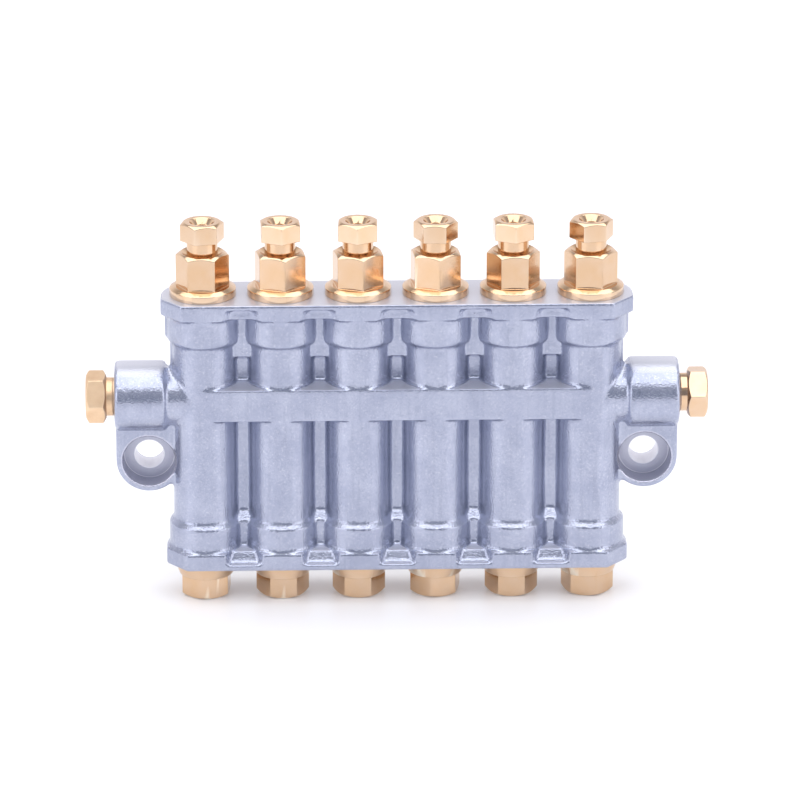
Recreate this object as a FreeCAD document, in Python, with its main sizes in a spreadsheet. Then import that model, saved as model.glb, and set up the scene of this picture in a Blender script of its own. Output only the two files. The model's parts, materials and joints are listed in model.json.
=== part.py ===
import FreeCAD, Part
import math
import os

import Sketcher

# Six-outlet single-line lubricant divider block, in millimetres.
# Row frame: origin midway between the two mounting holes, on the back face that meets the machine.
# +X runs along the row of outlets, +Y points into the machine, +Z points up.
# Every piece is drawn in the casting's own frame: z = 0 on the supply gallery's axis and y = 0 in the
# plane of the six tube axes. It is then shifted by the same two named sizes.

SIZES = (
    # The row of outlets
    ("outlet_count", 6, "outlets in the row"),
    ("pitch", 20.0, "distance between outlets"),
    # Casting: plates
    ("top_level", 28.0, "top plate's upper face above the gallery"),
    ("top_plate", 4.5, "top plate's thickness"),
    ("bottom_level", 45.3, "bottom plate's lower face below the gallery"),
    ("bottom_plate", 4.6, "bottom plate's thickness"),
    ("plate_front", 10.0, "plates' front face from the tube axes"),
    ("back_face", 10.0, "mounting face from the tube axes"),
    ("top_overhang", 10.9, "top plate beyond the end tube axes"),
    ("bottom_overhang", 10.2, "bottom plate beyond the end tube axes"),
    ("plate_corner_run", 5.3, "front corner cut, along the row"),
    ("plate_corner_depth", 6.2, "front corner cut, across the row"),
    ("edge_round", 0.4, "rounding of the cast edges"),
    # Casting: tubes and collars
    ("tube_radius", 8.2, "outer radius of a metering tube"),
    ("collar_radius", 9.45, "outer radius of the collar under the top plate"),
    ("collar_height", 7.9, "collar below the top plate"),
    ("collar_round", 1.3, "rounding of the collar's lower rim"),
    ("foot_radius", 9.4, "outer radius of the collar on the bottom plate"),
    ("foot_height", 6.4, "collar above the bottom plate"),
    ("foot_shoulder", 1.4, "sloping shoulder above that collar"),
    ("fin_height", 0.45, "fin on the outer side of the end tubes"),
    ("fin_half", 0.9, "half the thickness of that fin"),
    # Casting: webs between the tubes
    ("web_half", 0.9, "half the thickness of the web"),
    ("web_foot_half", 3.3, "half the thickness of the web near the plates"),
    ("upper_web_drop", 11.7, "thick web below the top plate"),
    ("web_draft", 0.3, "slope of the step under it"),
    ("lower_web_rise", 7.1, "thick web above the bottom plate"),
    ("web_slope", 2.1, "rise of the sloping ledge on top of it"),
    # Casting: supply rib, necks and end bosses
    ("rib_half", 4.35, "half the height of the supply rib"),
    ("rib_front", 8.45, "rib's front face from the tube axes"),
    ("rib_round", 0.3, "rounding of the rib's long edges"),
    ("neck_radius", 7.4, "radius of the neck to each end boss"),
    ("neck_back", 8.6, "back of the neck from the tube axes"),
    ("neck_corner", 7.1, "radius of the neck's rear corners"),
    ("boss_radius", 8.7, "radius of an end boss"),
    ("boss_start", 9.8, "boss's inner end beyond the end tube axis"),
    ("boss_length", 13.4, "length of an end boss"),
    ("boss_corner", 7.8, "radius of the boss's rear corners"),
    ("boss_round", 1.2, "rounding of the boss's end rims"),
    # Casting: mounting lugs
    ("lug_offset", 14.5, "mounting hole beyond the end tube axis"),
    ("lug_drop", 17.0, "mounting hole below the gallery"),
    ("lug_radius", 8.5, "radius of the lug's round end"),
    ("lug_depth", 12.8, "depth of a lug from its front to the mounting face"),
    ("lug_round", 0.6, "rounding of the lug's front edge"),
    ("bolt_radius", 3.8, "radius of a mounting hole"),
    ("counterbore_radius", 6.75, "radius of the screw head's seat"),
    ("counterbore_depth", 5.5, "depth of the screw head's seat"),
    # Casting: pockets in the plates' front faces
    ("top_mouth", 10.8, "width of a top pocket's mouth at the tubes"),
    ("top_wall", 5.5, "width of its back wall there"),
    ("top_depth", 2.0, "its depth there"),
    ("top_lip", 1.4, "lip above a top pocket"),
    ("top_lip_mouth", 9.4, "width of its mouth at the lip"),
    ("top_lip_wall", 4.3, "width of its back wall at the lip"),
    ("top_lip_depth", 2.2, "its depth at the lip"),
    ("bottom_mouth", 10.3, "width of a bottom pocket's mouth at the tubes"),
    ("bottom_wall", 5.4, "width of its back wall there"),
    ("bottom_depth", 3.0, "its depth there"),
    ("bottom_lip", 1.7, "lip below a bottom pocket"),
    ("bottom_lip_mouth", 9.8, "width of its mouth at the lip"),
    ("bottom_lip_wall", 7.6, "width of its back wall at the lip"),
    ("bottom_lip_depth", 1.3, "its depth at the lip"),
    # Casting: bores
    ("thread_radius", 7.0, "radius of the threads in both plates"),
    ("thread_gap", 0.05, "radial gap in a drawn thread"),
    ("top_port_depth", 10.5, "depth of the outlet thread"),
    ("bottom_port_depth", 10.3, "depth of the bottom plug's thread"),
    ("seal_width", 1.0, "width of a flat seal round a thread"),
    ("seal_height", 1.0, "height of a flat thread seal"),
    ("core_bore", 5.0, "radius of the bore for the valve core's land"),
    ("core_floor", 7.0, "end of that bore above the gallery"),
    ("passage_radius", 3.3, "radius of the passage across the gallery"),
    ("chamber_radius", 4.5, "radius of the metering bore"),
    ("chamber_roof", 4.2, "metering bore's roof below the gallery"),
    ("gallery_radius", 2.9, "radius of the supply gallery"),
    ("inlet_radius", 5.0, "radius of the inlet thread"),
    ("inlet_depth", 11.0, "depth of the inlet thread"),
    # Outlet bodies
    ("body_hex", 12.0, "outlet body and plug hexagons across their flats"),
    ("flange_width", 1.6, "outlet body's flange beyond its thread"),
    ("flange_rim", 1.9, "height of the flange's straight rim"),
    ("flange_height", 2.6, "height of the flange with its slope"),
    ("flange_slope", 1.3, "width of that slope"),
    ("body_height", 11.5, "outlet body above the top plate"),
    ("union_radius", 4.0, "radius of the tube nut's thread"),
    ("union_depth", 6.1, "depth of the tube nut's thread"),
    ("union_mouth", 1.3, "countersink at that thread's mouth"),
    ("cone_radius", 3.15, "mouth radius of the ferrule's seat"),
    ("cone_height", 1.6, "height of the ferrule's seat"),
    ("tube_bore", 2.05, "radius of the outlet tube's socket"),
    ("socket_depth", 2.3, "socket below the ferrule's seat"),
    ("outlet_bore", 1.3, "radius of the outlet passage"),
    ("outlet_passage", 2.5, "length of the outlet passage"),
    ("valve_bore", 2.4, "radius of the check valve's room"),
    # Tube nuts and ferrules
    ("nut_hex", 10.0, "tube nut's hexagon across its flats"),
    ("nut_neck", 3.3, "neck shown below the nut's hexagon"),
    ("nut_head", 4.9, "height of the nut's hexagon"),
    ("nut_bore", 2.25, "radius of the nut's tube hole"),
    ("nut_mouth", 3.3, "radius of the countersink in the nut's head"),
    ("nut_sink", 1.7, "depth of that countersink"),
    ("ferrule_radius", 3.0, "largest radius of a ferrule"),
    ("ferrule_band", 0.6, "straight band of a ferrule"),
    ("ferrule_edge", 0.2, "thickness of a ferrule's ends"),
    # Check valves
    ("ball_radius", 1.6, "check ball"),
    ("ball_seat", 1.2, "radius of the mouth that a check ball closes"),
    ("ball_cone", 0.6, "depth of that mouth"),
    ("ball_gap", 0.03, "gap between a resting ball and its mouth"),
    ("check_wire", 0.4, "thickness of the check spring's wire"),
    ("check_coil", 1.7, "mean radius of a check spring"),
    ("check_turns", 3, "turns of a check spring"),
    # Valve cores
    ("core_head", 1.5, "thickness of the core's head"),
    ("land_length", 8.0, "length of the core's land"),
    ("ring_height", 1.8, "height of the core ring's groove"),
    ("ring_depth", 1.1, "depth of the core ring's groove"),
    ("stem_radius", 1.7, "radius of the core's stem"),
    ("stem_bore", 0.9, "radius of the passage in the stem"),
    ("stop_radius", 2.5, "radius of the stop at the stem's end"),
    ("stop_height", 1.4, "height of that stop"),
    ("stem_port", 0.45, "radius of the cross hole in the stem"),
    # Umbrella valves
    ("valve_height", 3.4, "height of an umbrella valve"),
    ("valve_crown", 3.8, "radius of an umbrella valve's upper face"),
    ("valve_root", 2.7, "radius of its root"),
    ("valve_lip", 0.8, "thickness of its lip"),
    ("valve_hem", 0.7, "height of the lip's edge"),
    ("valve_notch", 1.7, "height of the hollow under the lip"),
    ("valve_travel", 1.2, "travel of an umbrella valve"),
    # Metering pistons
    ("piston_gap", 0.04, "radial running gap of a piston"),
    ("piston_length", 10.5, "length of a piston"),
    ("piston_wall", 1.0, "wall of the piston's skirt"),
    ("piston_crown", 3.6, "thickness of the piston's crown"),
    ("piston_stroke", 4.0, "travel of a piston"),
    ("end_gap", 0.3, "gap left at each end of a piston's travel"),
    ("groove_depth", 0.3, "depth of the piston's oil groove"),
    ("groove_height", 0.8, "height of the piston's oil groove"),
    ("spring_coil", 2.9, "mean radius of a piston spring"),
    ("spring_wire", 0.8, "thickness of the piston spring's wire"),
    ("spring_turns", 5, "turns of a piston spring"),
    # Bottom plugs
    ("plug_width", 1.2, "bottom plug's flange beyond its thread"),
    ("plug_taper", 3.6, "height of the tapered flange"),
    ("plug_rim", 0.6, "straight rim of that flange"),
    ("plug_neck", 7.1, "flange's radius at the hexagon"),
    ("plug_hex_height", 5.9, "height of a bottom plug's hexagon"),
    ("nose_radius", 4.3, "radius of the nose that stops the piston"),
    ("nose_wall", 0.8, "wall of that nose"),
    ("spring_seat", 4.0, "spring's seat below the bottom port's end"),
    # Inlet plugs
    ("inlet_neck", 2.1, "thread shown between boss and hexagon"),
    ("inlet_head", 5.3, "thickness of an inlet plug's hexagon"),
    ("inlet_shank", 9.0, "inlet plug's thread inside the boss"),
    # Shared details
    ("hex_chamfer", 30.0, "slope of the hexagons' corner chamfers"),
    ("hex_land", 0.92, "flat end of a hexagon, as a share of its flats"),
    ("rest_gap", 0.1, "gap between pieces that meet and part again"),
    ("seal_gap", 0.02, "gap round a drawn seal"),
)

# How far each fitting is turned from flat-to-front, in degrees, left to right, as they were tightened.
NUT_TURNS = (11.0, -25.5, 27.5, -4.1, -25.5, 8.5)
BODY_TURNS = (-2.5, -19.5, -19.0, -22.0, 2.0, -6.5)
PLUG_TURNS = (24.0, 2.0, -3.5, 19.0, -1.0, -11.0)
INLET_TURNS = (26.0, 22.0)

doc = FreeCAD.newDocument("divider_block")
sheet = doc.addObject("Spreadsheet::Sheet", "sizes")
for row, (alias, number, note) in enumerate(SIZES, start=1):
    sheet.set(f"A{row}", note)
    sheet.set(f"B{row}", str(number))
    sheet.setAlias(f"B{row}", alias)
doc.recompute()


class Length:
    """A number together with the sheet's formula for it, so that both always agree."""

    def __init__(self, value, formula):
        self.value = float(value)
        self.formula = formula

    def _join(self, other, sign, value):
        return Length(value, f"({self.formula} {sign} {length(other).formula})")

    def __add__(self, other):
        return self._join(other, "+", self.value + length(other).value)

    def __sub__(self, other):
        return self._join(other, "-", self.value - length(other).value)

    def __mul__(self, other):
        return self._join(other, "*", self.value * length(other).value)

    def __truediv__(self, other):
        return self._join(other, "/", self.value / length(other).value)

    def __neg__(self):
        return Length(-self.value, f"(0 - {self.formula})")

    def __radd__(self, other):
        return length(other) + self

    def __rsub__(self, other):
        return length(other) - self

    def __rmul__(self, other):
        return length(other) * self


def length(number):
    """A Length from a Length or from a plain number."""
    return number if isinstance(number, Length) else Length(number, repr(float(number)))


def tangent(angle):
    """The tangent of an angle in degrees."""
    return Length(math.tan(math.radians(angle.value)), f"tan({angle.formula} * 1 deg)")


def root(size):
    """The square root of a size."""
    return Length(math.sqrt(size.value), f"sqrt({size.formula})")


class Sizes:
    """Every size of the sheet as a Length, by its alias."""

    def __getattr__(self, alias):
        return Length(sheet.get(alias), f"sizes.{alias}")


s = Sizes()
COUNT = int(s.outlet_count.value)
ROOT3 = math.sqrt(3.0)
TINY = 1e-4


def bind(thing, prop, size):
    """Ties a property to the sheet."""
    thing.setExpression(prop, length(size).formula)


def new_body(label):
    body = doc.addObject("PartDesign::Body", label)
    body.Label = label
    return body


def plane_of(body, role):
    for feature in body.Origin.OriginFeatures:
        if feature.Role == role:
            return feature
    raise ValueError(f"{body.Label} has no {role}")


def arc_between(start, end, radius):
    """The arc from start to end that turns left."""
    chord = end - start
    rise = math.sqrt(max(radius * radius - chord.Length**2 / 4, 0.0))
    across = FreeCAD.Vector(-chord.y, chord.x, 0).normalize()
    centre = (start + end) / 2 + across * rise
    angles = [math.atan2(p.y - centre.y, p.x - centre.x) for p in (start, end)]
    circle = Part.Circle(centre, FreeCAD.Vector(0, 0, 1), radius)
    return Part.ArcOfCircle(circle, *angles)


def attach(body, name, plane, offset):
    """A sketch on one of the body's own planes, moved along that plane's normal."""
    sketch = body.newObject("Sketcher::SketchObject", name)
    sketch.AttachmentSupport = [(plane_of(body, plane), "")]
    sketch.MapMode = "FlatFace"
    bind(sketch, "AttachmentOffset.Base.z", offset)
    return sketch


def draw(body, name, plane, *outlines, offset=0.0):
    """A fully sized sketch of closed outlines."""
    sketch = attach(body, name, plane, offset)
    for outline in outlines:
        draw_outline(sketch, [tuple(length(number) for number in corner) for corner in outline])
    return sketch


def draw_outline(sketch, corners):
    """One closed outline. A corner is (x, y), or (x, y, radius) when a left-turning arc reaches it."""
    places = [FreeCAD.Vector(corner[0].value, corner[1].value, 0) for corner in corners]
    edges = []
    for number, corner in enumerate(corners):
        start, end = places[number - 1], places[number]
        if len(corner) == 3:
            edge = sketch.addGeometry(arc_between(start, end, corner[2].value), False)
            index = sketch.addConstraint(Sketcher.Constraint("Radius", edge, corner[2].value))
            bind(sketch, f"Constraints[{index}]", corner[2])
        else:
            edge = sketch.addGeometry(Part.LineSegment(start, end), False)
        edges.append(edge)
    for edge, following, corner in zip(edges, edges[1:] + edges[:1], corners):
        sketch.addConstraint(Sketcher.Constraint("Coincident", edge, 2, following, 1))
        for kind, size in (("DistanceX", corner[0]), ("DistanceY", corner[1])):
            rule = Sketcher.Constraint(kind, -1, 1, edge, 2, size.value)
            index = sketch.addConstraint(rule)
            bind(sketch, f"Constraints[{index}]", size)


def feature(body, kind, name, sketch, **settings):
    """A sketch-based feature of a body, with its plain settings."""
    made = body.newObject(f"PartDesign::{kind}", name)
    made.Profile = sketch
    sketch.Visibility = False
    for key, value in settings.items():
        setattr(made, key, value)
    return made


def pad(body, name, sketch, height, **settings):
    made = feature(body, "Pad", name, sketch, **settings)
    bind(made, "Length", height)
    return made


def pocket(body, name, sketch, depth, **settings):
    made = feature(body, "Pocket", name, sketch, **settings)
    bind(made, "Length", depth)
    return cutting(made)


def cutting(made):
    """Makes sure that a pocket or groove takes material away."""
    doc.recompute()
    before, after = made.BaseFeature.Shape.Volume, made.Shape.Volume
    if not after < before:
        raise RuntimeError(f"{made.Name} cuts nothing")
    return made


def turn(body, kind, name, outline):
    """A Revolution or a Groove about the body's own upright axis."""
    sketch = draw(body, f"{name}_outline", "XZ_Plane", outline)
    made = feature(body, kind, name, sketch, ReferenceAxis=(sketch, ["V_Axis"]), Angle=360.0)
    return cutting(made) if kind == "Groove" else made


def draw_circle(body, name, plane, x, y, radius, offset=0.0):
    """A sketch of one fully sized circle."""
    sketch = attach(body, name, plane, offset)
    x, y, radius = length(x), length(y), length(radius)
    centre, normal = FreeCAD.Vector(x.value, y.value, 0), FreeCAD.Vector(0, 0, 1)
    edge = sketch.addGeometry(Part.Circle(centre, normal, radius.value), False)
    for kind, size in (("DistanceX", x), ("DistanceY", y)):
        index = sketch.addConstraint(Sketcher.Constraint(kind, -1, 1, edge, 3, size.value))
        bind(sketch, f"Constraints[{index}]", size)
    index = sketch.addConstraint(Sketcher.Constraint("Radius", edge, radius.value))
    bind(sketch, f"Constraints[{index}]", radius)
    return sketch


def along_row(body, name, original, count):
    """Repeats a feature along the row, one pitch apart."""
    doc.recompute()
    made = body.newObject("PartDesign::LinearPattern", name)
    made.Originals = [original]
    made.Direction = (plane_of(body, "X_Axis"), [""])
    bind(made, "Length", s.pitch * (count - 1))
    bind(made, "Occurrences", count)
    body.Tip = made
    doc.recompute()
    return made


def on_both_ends(body, name, originals):
    """Mirrors features to the other end of the row."""
    doc.recompute()
    made = body.newObject("PartDesign::Mirrored", name)
    made.Originals = list(originals)
    made.MirrorPlane = (plane_of(body, "YZ_Plane"), [""])
    body.Tip = made
    doc.recompute()
    return made


def round_edges(body, name, base, wanted, radius):
    """Rounds the edges of base that the test picks out."""
    doc.recompute()
    names = [f"Edge{i}" for i, edge in enumerate(base.Shape.Edges, start=1) if wanted(edge)]
    made = body.newObject("PartDesign::Fillet", name)
    made.Base = (base, names)
    bind(made, "Radius", radius)
    doc.recompute()
    return made


def half_row():
    """From the middle of the row to the end tube axes."""
    return s.pitch * (s.outlet_count - 1) / 2


def seat(body, x=0.0, level=0.0, turned=0.0):
    """Puts a body in the row frame: at x along the row, level above the gallery, turned about its axis."""
    body.Placement = FreeCAD.Placement(
        FreeCAD.Vector(0, 0, 0), FreeCAD.Rotation(FreeCAD.Vector(0, 0, 1), turned)
    )
    bind(body, "Placement.Base.x", x)
    bind(body, "Placement.Base.y", -s.back_face)
    bind(body, "Placement.Base.z", s.lug_drop + level)


def axis_of(index):
    """The place of tube number index along the row."""
    return s.pitch * index - half_row()


def hexagon(flats):
    """The corners of a hexagon with a flat towards the front."""
    corner, half = flats / ROOT3, flats / 2
    return (
        (corner, 0.0),
        (corner / 2, half),
        (-corner / 2, half),
        (-corner, 0.0),
        (-corner / 2, -half),
        (corner / 2, -half),
    )


def bevel_hexagon(body, name, flats, end, upward):
    """Turns the corners of a hexagon's end down to a cone, as on a machined nut."""
    land = flats * s.hex_land / 2
    reach = flats / ROOT3 + s.edge_round
    drop = (reach - land) * tangent(s.hex_chamfer)
    low = end - drop if upward else end + drop
    outline = ((land, end), (reach, low), (reach, end))
    return turn(body, "Groove", name, outline)


# Levels and inner places that several pieces share
TOP_UNDERSIDE = s.top_level - s.top_plate
BOTTOM_TOP = s.bottom_plate - s.bottom_level
CORE_LEDGE = s.top_level - s.top_port_depth
PORT_END = s.bottom_port_depth - s.bottom_level
CORE_TOP = CORE_LEDGE + s.core_head
LAND_END = CORE_LEDGE - s.land_length
BODY_TOP = s.top_level + s.body_height
VALVE_LOW = -(s.chamber_roof + s.rest_gap + s.valve_travel + s.valve_height)
STEM_END = VALVE_LOW - s.rest_gap - s.stop_height
PISTON_TOP = STEM_END - s.end_gap
PISTON_END = PISTON_TOP - s.piston_length
NOSE_TOP = PISTON_END - s.piston_stroke - s.end_gap
SPRING_FLOOR = PORT_END - s.spring_seat
UNION_FLOOR = BODY_TOP - s.union_depth
CONE_END = UNION_FLOOR - s.cone_height
SOCKET_END = CONE_END - s.socket_depth
ROOM_TOP = SOCKET_END - s.outlet_passage
CONE_SLOPE = s.cone_height / (s.cone_radius - s.tube_bore)
FERRULE_LOW = CONE_END + s.rest_gap + s.ferrule_edge * CONE_SLOPE
BAND_LOW = CONE_END + s.rest_gap + (s.ferrule_radius - s.tube_bore) * CONE_SLOPE
NUT_LOW = BAND_LOW + s.ferrule_band + s.rest_gap
BALL_REST = CORE_TOP + root(s.ball_radius * s.ball_radius - s.ball_seat * s.ball_seat) + s.ball_gap
BOSS_END = half_row() + s.boss_start + s.boss_length
LUG_X = half_row() + s.lug_offset
CHECK_INNER = s.check_coil - s.check_wire / 2
SEAL_RADIUS = s.thread_radius + s.seal_width


def plate_outline(overhang):
    """A plate seen from above: cut front corners and round rear corners."""
    reach = half_row() + overhang
    front = reach - s.plate_corner_run
    side = s.plate_corner_depth - s.plate_front
    rear = reach - s.back_face
    return (
        (-front, -s.plate_front),
        (front, -s.plate_front),
        (reach, side),
        (reach, 0.0),
        (rear, s.back_face, s.back_face),
        (-rear, s.back_face),
        (-reach, 0.0, s.back_face),
        (-reach, side),
    )


def boss_outline(radius, back, corner):
    """A boss or its neck seen along the row: round in front and a little squared off at the back."""
    flat = back - corner
    return (
        (flat, -radius),
        (back, corner - radius, corner),
        (back, radius - corner),
        (flat, radius, corner),
        (0.0, radius),
        (-radius, 0.0, radius),
        (0.0, -radius, radius),
    )


def web_outline():
    """The webs seen along the row: thick at both plates and thin between."""
    upper, lower = TOP_UNDERSIDE - s.upper_web_drop, BOTTOM_TOP + s.lower_web_rise
    thick, thin = s.web_foot_half, s.web_half
    low, high = BOTTOM_TOP - s.edge_round, TOP_UNDERSIDE + s.edge_round
    return (
        (-thick, low),
        (thick, low),
        (thick, lower),
        (thin, lower + s.web_slope),
        (thin, upper - s.web_draft),
        (thick, upper),
        (thick, high),
        (-thick, high),
        (-thick, upper),
        (-thin, upper - s.web_draft),
        (-thin, lower + s.web_slope),
        (-thick, lower),
    )


def rib_outline():
    """The supply rib seen along the row, with rounded long edges."""
    front, half, r = s.rib_front, s.rib_half, s.rib_round
    return (
        (r - front, -half, r),
        (front - r, -half),
        (front, r - half, r),
        (front, half - r),
        (front - r, half, r),
        (r - front, half),
        (-front, half - r, r),
        (-front, r - half),
    )


def fin_outline():
    """The fin that runs up an end tube from its neck to the top plate."""
    axis, fin = half_row(), s.fin_height
    collar_low = TOP_UNDERSIDE - s.collar_height
    return (
        (axis, 0.0),
        (axis + s.tube_radius + fin, 0.0),
        (axis + s.tube_radius + fin, collar_low),
        (axis + s.collar_radius + fin, collar_low + s.collar_round),
        (axis + s.collar_radius + fin, TOP_UNDERSIDE + s.edge_round),
        (axis, TOP_UNDERSIDE + s.edge_round),
    )


def tube_outline():
    """Half of a tube's outer form, from its foot to the top plate."""
    axis = axis_of(0)
    foot_top = BOTTOM_TOP + s.foot_height
    collar_low = TOP_UNDERSIDE - s.collar_height
    inside = s.edge_round
    return (
        (axis, BOTTOM_TOP - inside),
        (axis + s.foot_radius, BOTTOM_TOP - inside),
        (axis + s.foot_radius, foot_top),
        (axis + s.tube_radius, foot_top + s.foot_shoulder),
        (axis + s.tube_radius, collar_low),
        (axis + s.collar_radius - s.collar_round, collar_low),
        (axis + s.collar_radius, collar_low + s.collar_round, s.collar_round),
        (axis + s.collar_radius, TOP_UNDERSIDE + inside),
        (axis, TOP_UNDERSIDE + inside),
    )


def bore_outline():
    """Half of the stepped bore through a tube, from the bottom port to the top port."""
    axis = axis_of(0)
    port = axis + s.thread_radius + s.thread_gap
    recess = axis + SEAL_RADIUS
    low, high = -s.bottom_level, s.top_level
    return (
        (axis, low),
        (recess, low),
        (recess, low + s.seal_height),
        (port, low + s.seal_height),
        (port, PORT_END),
        (axis + s.chamber_radius, PORT_END),
        (axis + s.chamber_radius, -s.chamber_roof),
        (axis + s.passage_radius, -s.chamber_roof),
        (axis + s.passage_radius, s.core_floor),
        (axis + s.core_bore, s.core_floor),
        (axis + s.core_bore, CORE_LEDGE),
        (port, CORE_LEDGE),
        (port, high - s.seal_height),
        (recess, high - s.seal_height),
        (recess, high),
        (axis, high),
    )


def about_tube(body, kind, name, *outlines):
    """A Revolution or a Groove about the first tube's axis, repeated along the row."""
    sketch = draw(body, f"{name}_outline", "XZ_Plane", *outlines)
    x = axis_of(0).value
    ends = (FreeCAD.Vector(x, -s.bottom_level.value, 0), FreeCAD.Vector(x, s.top_level.value, 0))
    line = sketch.addGeometry(Part.LineSegment(*ends), True)
    sketch.addConstraint(Sketcher.Constraint("Vertical", line))
    index = sketch.addConstraint(Sketcher.Constraint("DistanceX", -1, 1, line, 1, x))
    bind(sketch, f"Constraints[{index}]", axis_of(0))
    made = feature(body, kind, name, sketch, ReferenceAxis=(sketch, ["Axis0"]), Angle=360.0)
    return along_row(body, f"{name}_row", made, s.outlet_count)


def on_plate_rim(edge):
    """Edges round both plates, level or upright, but none of the webs'."""
    box = edge.BoundBox
    levels = (TOP_UNDERSIDE, s.top_level, -s.bottom_level, BOTTOM_TOP)
    level = box.ZLength < TINY and any(abs(box.ZMin - z.value) < TINY for z in levels)
    upright = box.XLength < TINY and box.YLength < TINY and abs(box.XMin) > half_row().value + TINY
    outer = max(abs(box.YMin), abs(box.YMax)) > s.web_foot_half.value + TINY
    return (level and outer) or upright


def on_boss_rim(edge):
    """Edges round both ends of the two end bosses."""
    box = edge.BoundBox
    places = (half_row() + s.boss_start, BOSS_END)
    at_end = any(abs(abs(box.XMin) - x.value) < TINY for x in places)
    reach = max(abs(box.ZMin), abs(box.ZMax), -box.YMin, box.YMax)
    return box.XLength < TINY and at_end and reach > s.neck_back.value + TINY


def on_lug_rim(edge):
    """Edges round the front of both lugs, where they stand clear of boss, neck and tube."""
    box = edge.BoundBox
    front = box.YLength < TINY and abs(box.YMin - (s.back_face - s.lug_depth).value) < TINY
    below = box.ZMin < -s.boss_radius.value
    outer = min(abs(box.XMin), abs(box.XMax)) > LUG_X.value
    return front and below and (outer or box.XLength > TINY)


def make_manifold():
    """The die casting with every bore and port."""
    body = new_body("manifold")
    outline = plate_outline(s.top_overhang)
    upper = draw(body, "top_plate_outline", "XY_Plane", outline, offset=TOP_UNDERSIDE)
    pad(body, "top_plate_pad", upper, s.top_plate)
    webs = draw(body, "web_outline", "YZ_Plane", web_outline())
    pad(body, "web_pad", webs, half_row() * 2, Midplane=True)
    outline = plate_outline(s.bottom_overhang)
    lower = draw(body, "bottom_plate_outline", "XY_Plane", outline, offset=-s.bottom_level)
    plates = pad(body, "bottom_plate_pad", lower, s.bottom_plate)
    round_edges(body, "plate_rims", plates, on_plate_rim, s.edge_round)
    rib = draw(body, "rib_outline", "YZ_Plane", rib_outline())
    pad(body, "rib_pad", rib, half_row() * 2, Midplane=True)
    about_tube(body, "Revolution", "tube", tube_outline())
    fin = draw(body, "fin_outline", "XZ_Plane", fin_outline())
    fin = pad(body, "fin_pad", fin, s.fin_half * 2, Midplane=True)
    on_both_ends(body, "both_fins", (fin,))
    add_bosses(body)
    add_pockets(body)
    about_tube(body, "Groove", "bore", bore_outline())
    add_gallery(body)
    add_mounting_holes(body)
    seat(body)
    return body


def add_bosses(body):
    """The end bosses on their necks, and the mounting lugs below them."""
    start = half_row() + s.boss_start
    outline = boss_outline(s.neck_radius, s.neck_back, s.neck_corner)
    neck = draw(body, "neck_outline", "YZ_Plane", outline, offset=half_row())
    neck = pad(body, "neck_pad", neck, s.boss_start + s.boss_round)
    outline = boss_outline(s.boss_radius, s.back_face, s.boss_corner)
    boss = draw(body, "boss_outline", "YZ_Plane", outline, offset=start)
    boss = pad(body, "boss_pad", boss, s.boss_length)
    bosses = on_both_ends(body, "both_bosses", (neck, boss))
    round_edges(body, "boss_rims", bosses, on_boss_rim, s.boss_round)
    middle, side, low = LUG_X, s.lug_radius, -s.lug_drop
    outline = (
        (middle - side, -s.rib_half),
        (middle - side, low),
        (middle, low - side, side),
        (middle + side, low, side),
        (middle + side, -s.rib_half),
    )
    lug = draw(body, "lug_outline", "XZ_Plane", outline, offset=-s.back_face)
    lug = pad(body, "lug_pad", lug, s.lug_depth)
    lugs = on_both_ends(body, "both_lugs", (lug,))
    round_edges(body, "lug_rims", lugs, on_lug_rim, s.lug_round)


def pocket_outline(mouth, wall, depth):
    """A pocket between the first two tubes seen from above, wider at the mouth than at its back wall."""
    middle, front = axis_of(0) + s.pitch / 2, -s.plate_front
    return (
        (middle - mouth / 2, front),
        (middle + mouth / 2, front),
        (middle + wall / 2, front + depth),
        (middle - wall / 2, front + depth),
    )


def add_pockets(body):
    """The pockets in the front edge of each plate, whose walls slope from the tubes to the lip."""
    at_tubes = pocket_outline(s.top_mouth, s.top_wall, s.top_depth)
    at_lip = pocket_outline(s.top_lip_mouth, s.top_lip_wall, s.top_lip_depth)
    cut_pockets(body, "top_pocket", at_tubes, TOP_UNDERSIDE, at_lip, s.top_level - s.top_lip)
    at_tubes = pocket_outline(s.bottom_mouth, s.bottom_wall, s.bottom_depth)
    at_lip = pocket_outline(s.bottom_lip_mouth, s.bottom_lip_wall, s.bottom_lip_depth)
    cut_pockets(body, "bottom_pocket", at_tubes, BOTTOM_TOP, at_lip, s.bottom_lip - s.bottom_level)


def cut_pockets(body, name, at_tubes, tubes_level, at_lip, lip_level):
    """One plate's pockets, each between its outline at the tubes and its outline at the lip."""
    first = draw(body, f"{name}_at_tubes", "XY_Plane", at_tubes, offset=tubes_level)
    last = draw(body, f"{name}_at_lip", "XY_Plane", at_lip, offset=lip_level)
    loft = feature(body, "SubtractiveLoft", name, first, Sections=[last], Ruled=True)
    last.Visibility = False
    along_row(body, f"{name}_row", cutting(loft), s.outlet_count - 1)


def add_gallery(body):
    """The supply gallery from end to end, and the inlet threads at both ends."""
    hole = draw_circle(body, "gallery_outline", "YZ_Plane", 0.0, 0.0, s.gallery_radius)
    pocket(body, "gallery", hole, BOSS_END * 2, Midplane=True)
    port = s.inlet_radius + s.thread_gap
    hole = draw_circle(body, "inlet_outline", "YZ_Plane", 0.0, 0.0, port, BOSS_END)
    inlet = pocket(body, "inlet", hole, s.inlet_depth)
    on_both_ends(body, "both_inlets", (inlet,))


def add_mounting_holes(body):
    """A through hole with a seat for the screw's head in each lug."""
    front = s.lug_depth - s.back_face
    place = (LUG_X, -s.lug_drop)
    hole = draw_circle(body, "bolt_outline", "XZ_Plane", *place, s.bolt_radius, front)
    bolt = pocket(body, "bolt_hole", hole, s.lug_depth)
    hole = draw_circle(body, "seat_outline", "XZ_Plane", *place, s.counterbore_radius, front)
    counterbore = pocket(body, "screw_seat", hole, s.counterbore_depth)
    on_both_ends(body, "both_holes", (bolt, counterbore))


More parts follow.
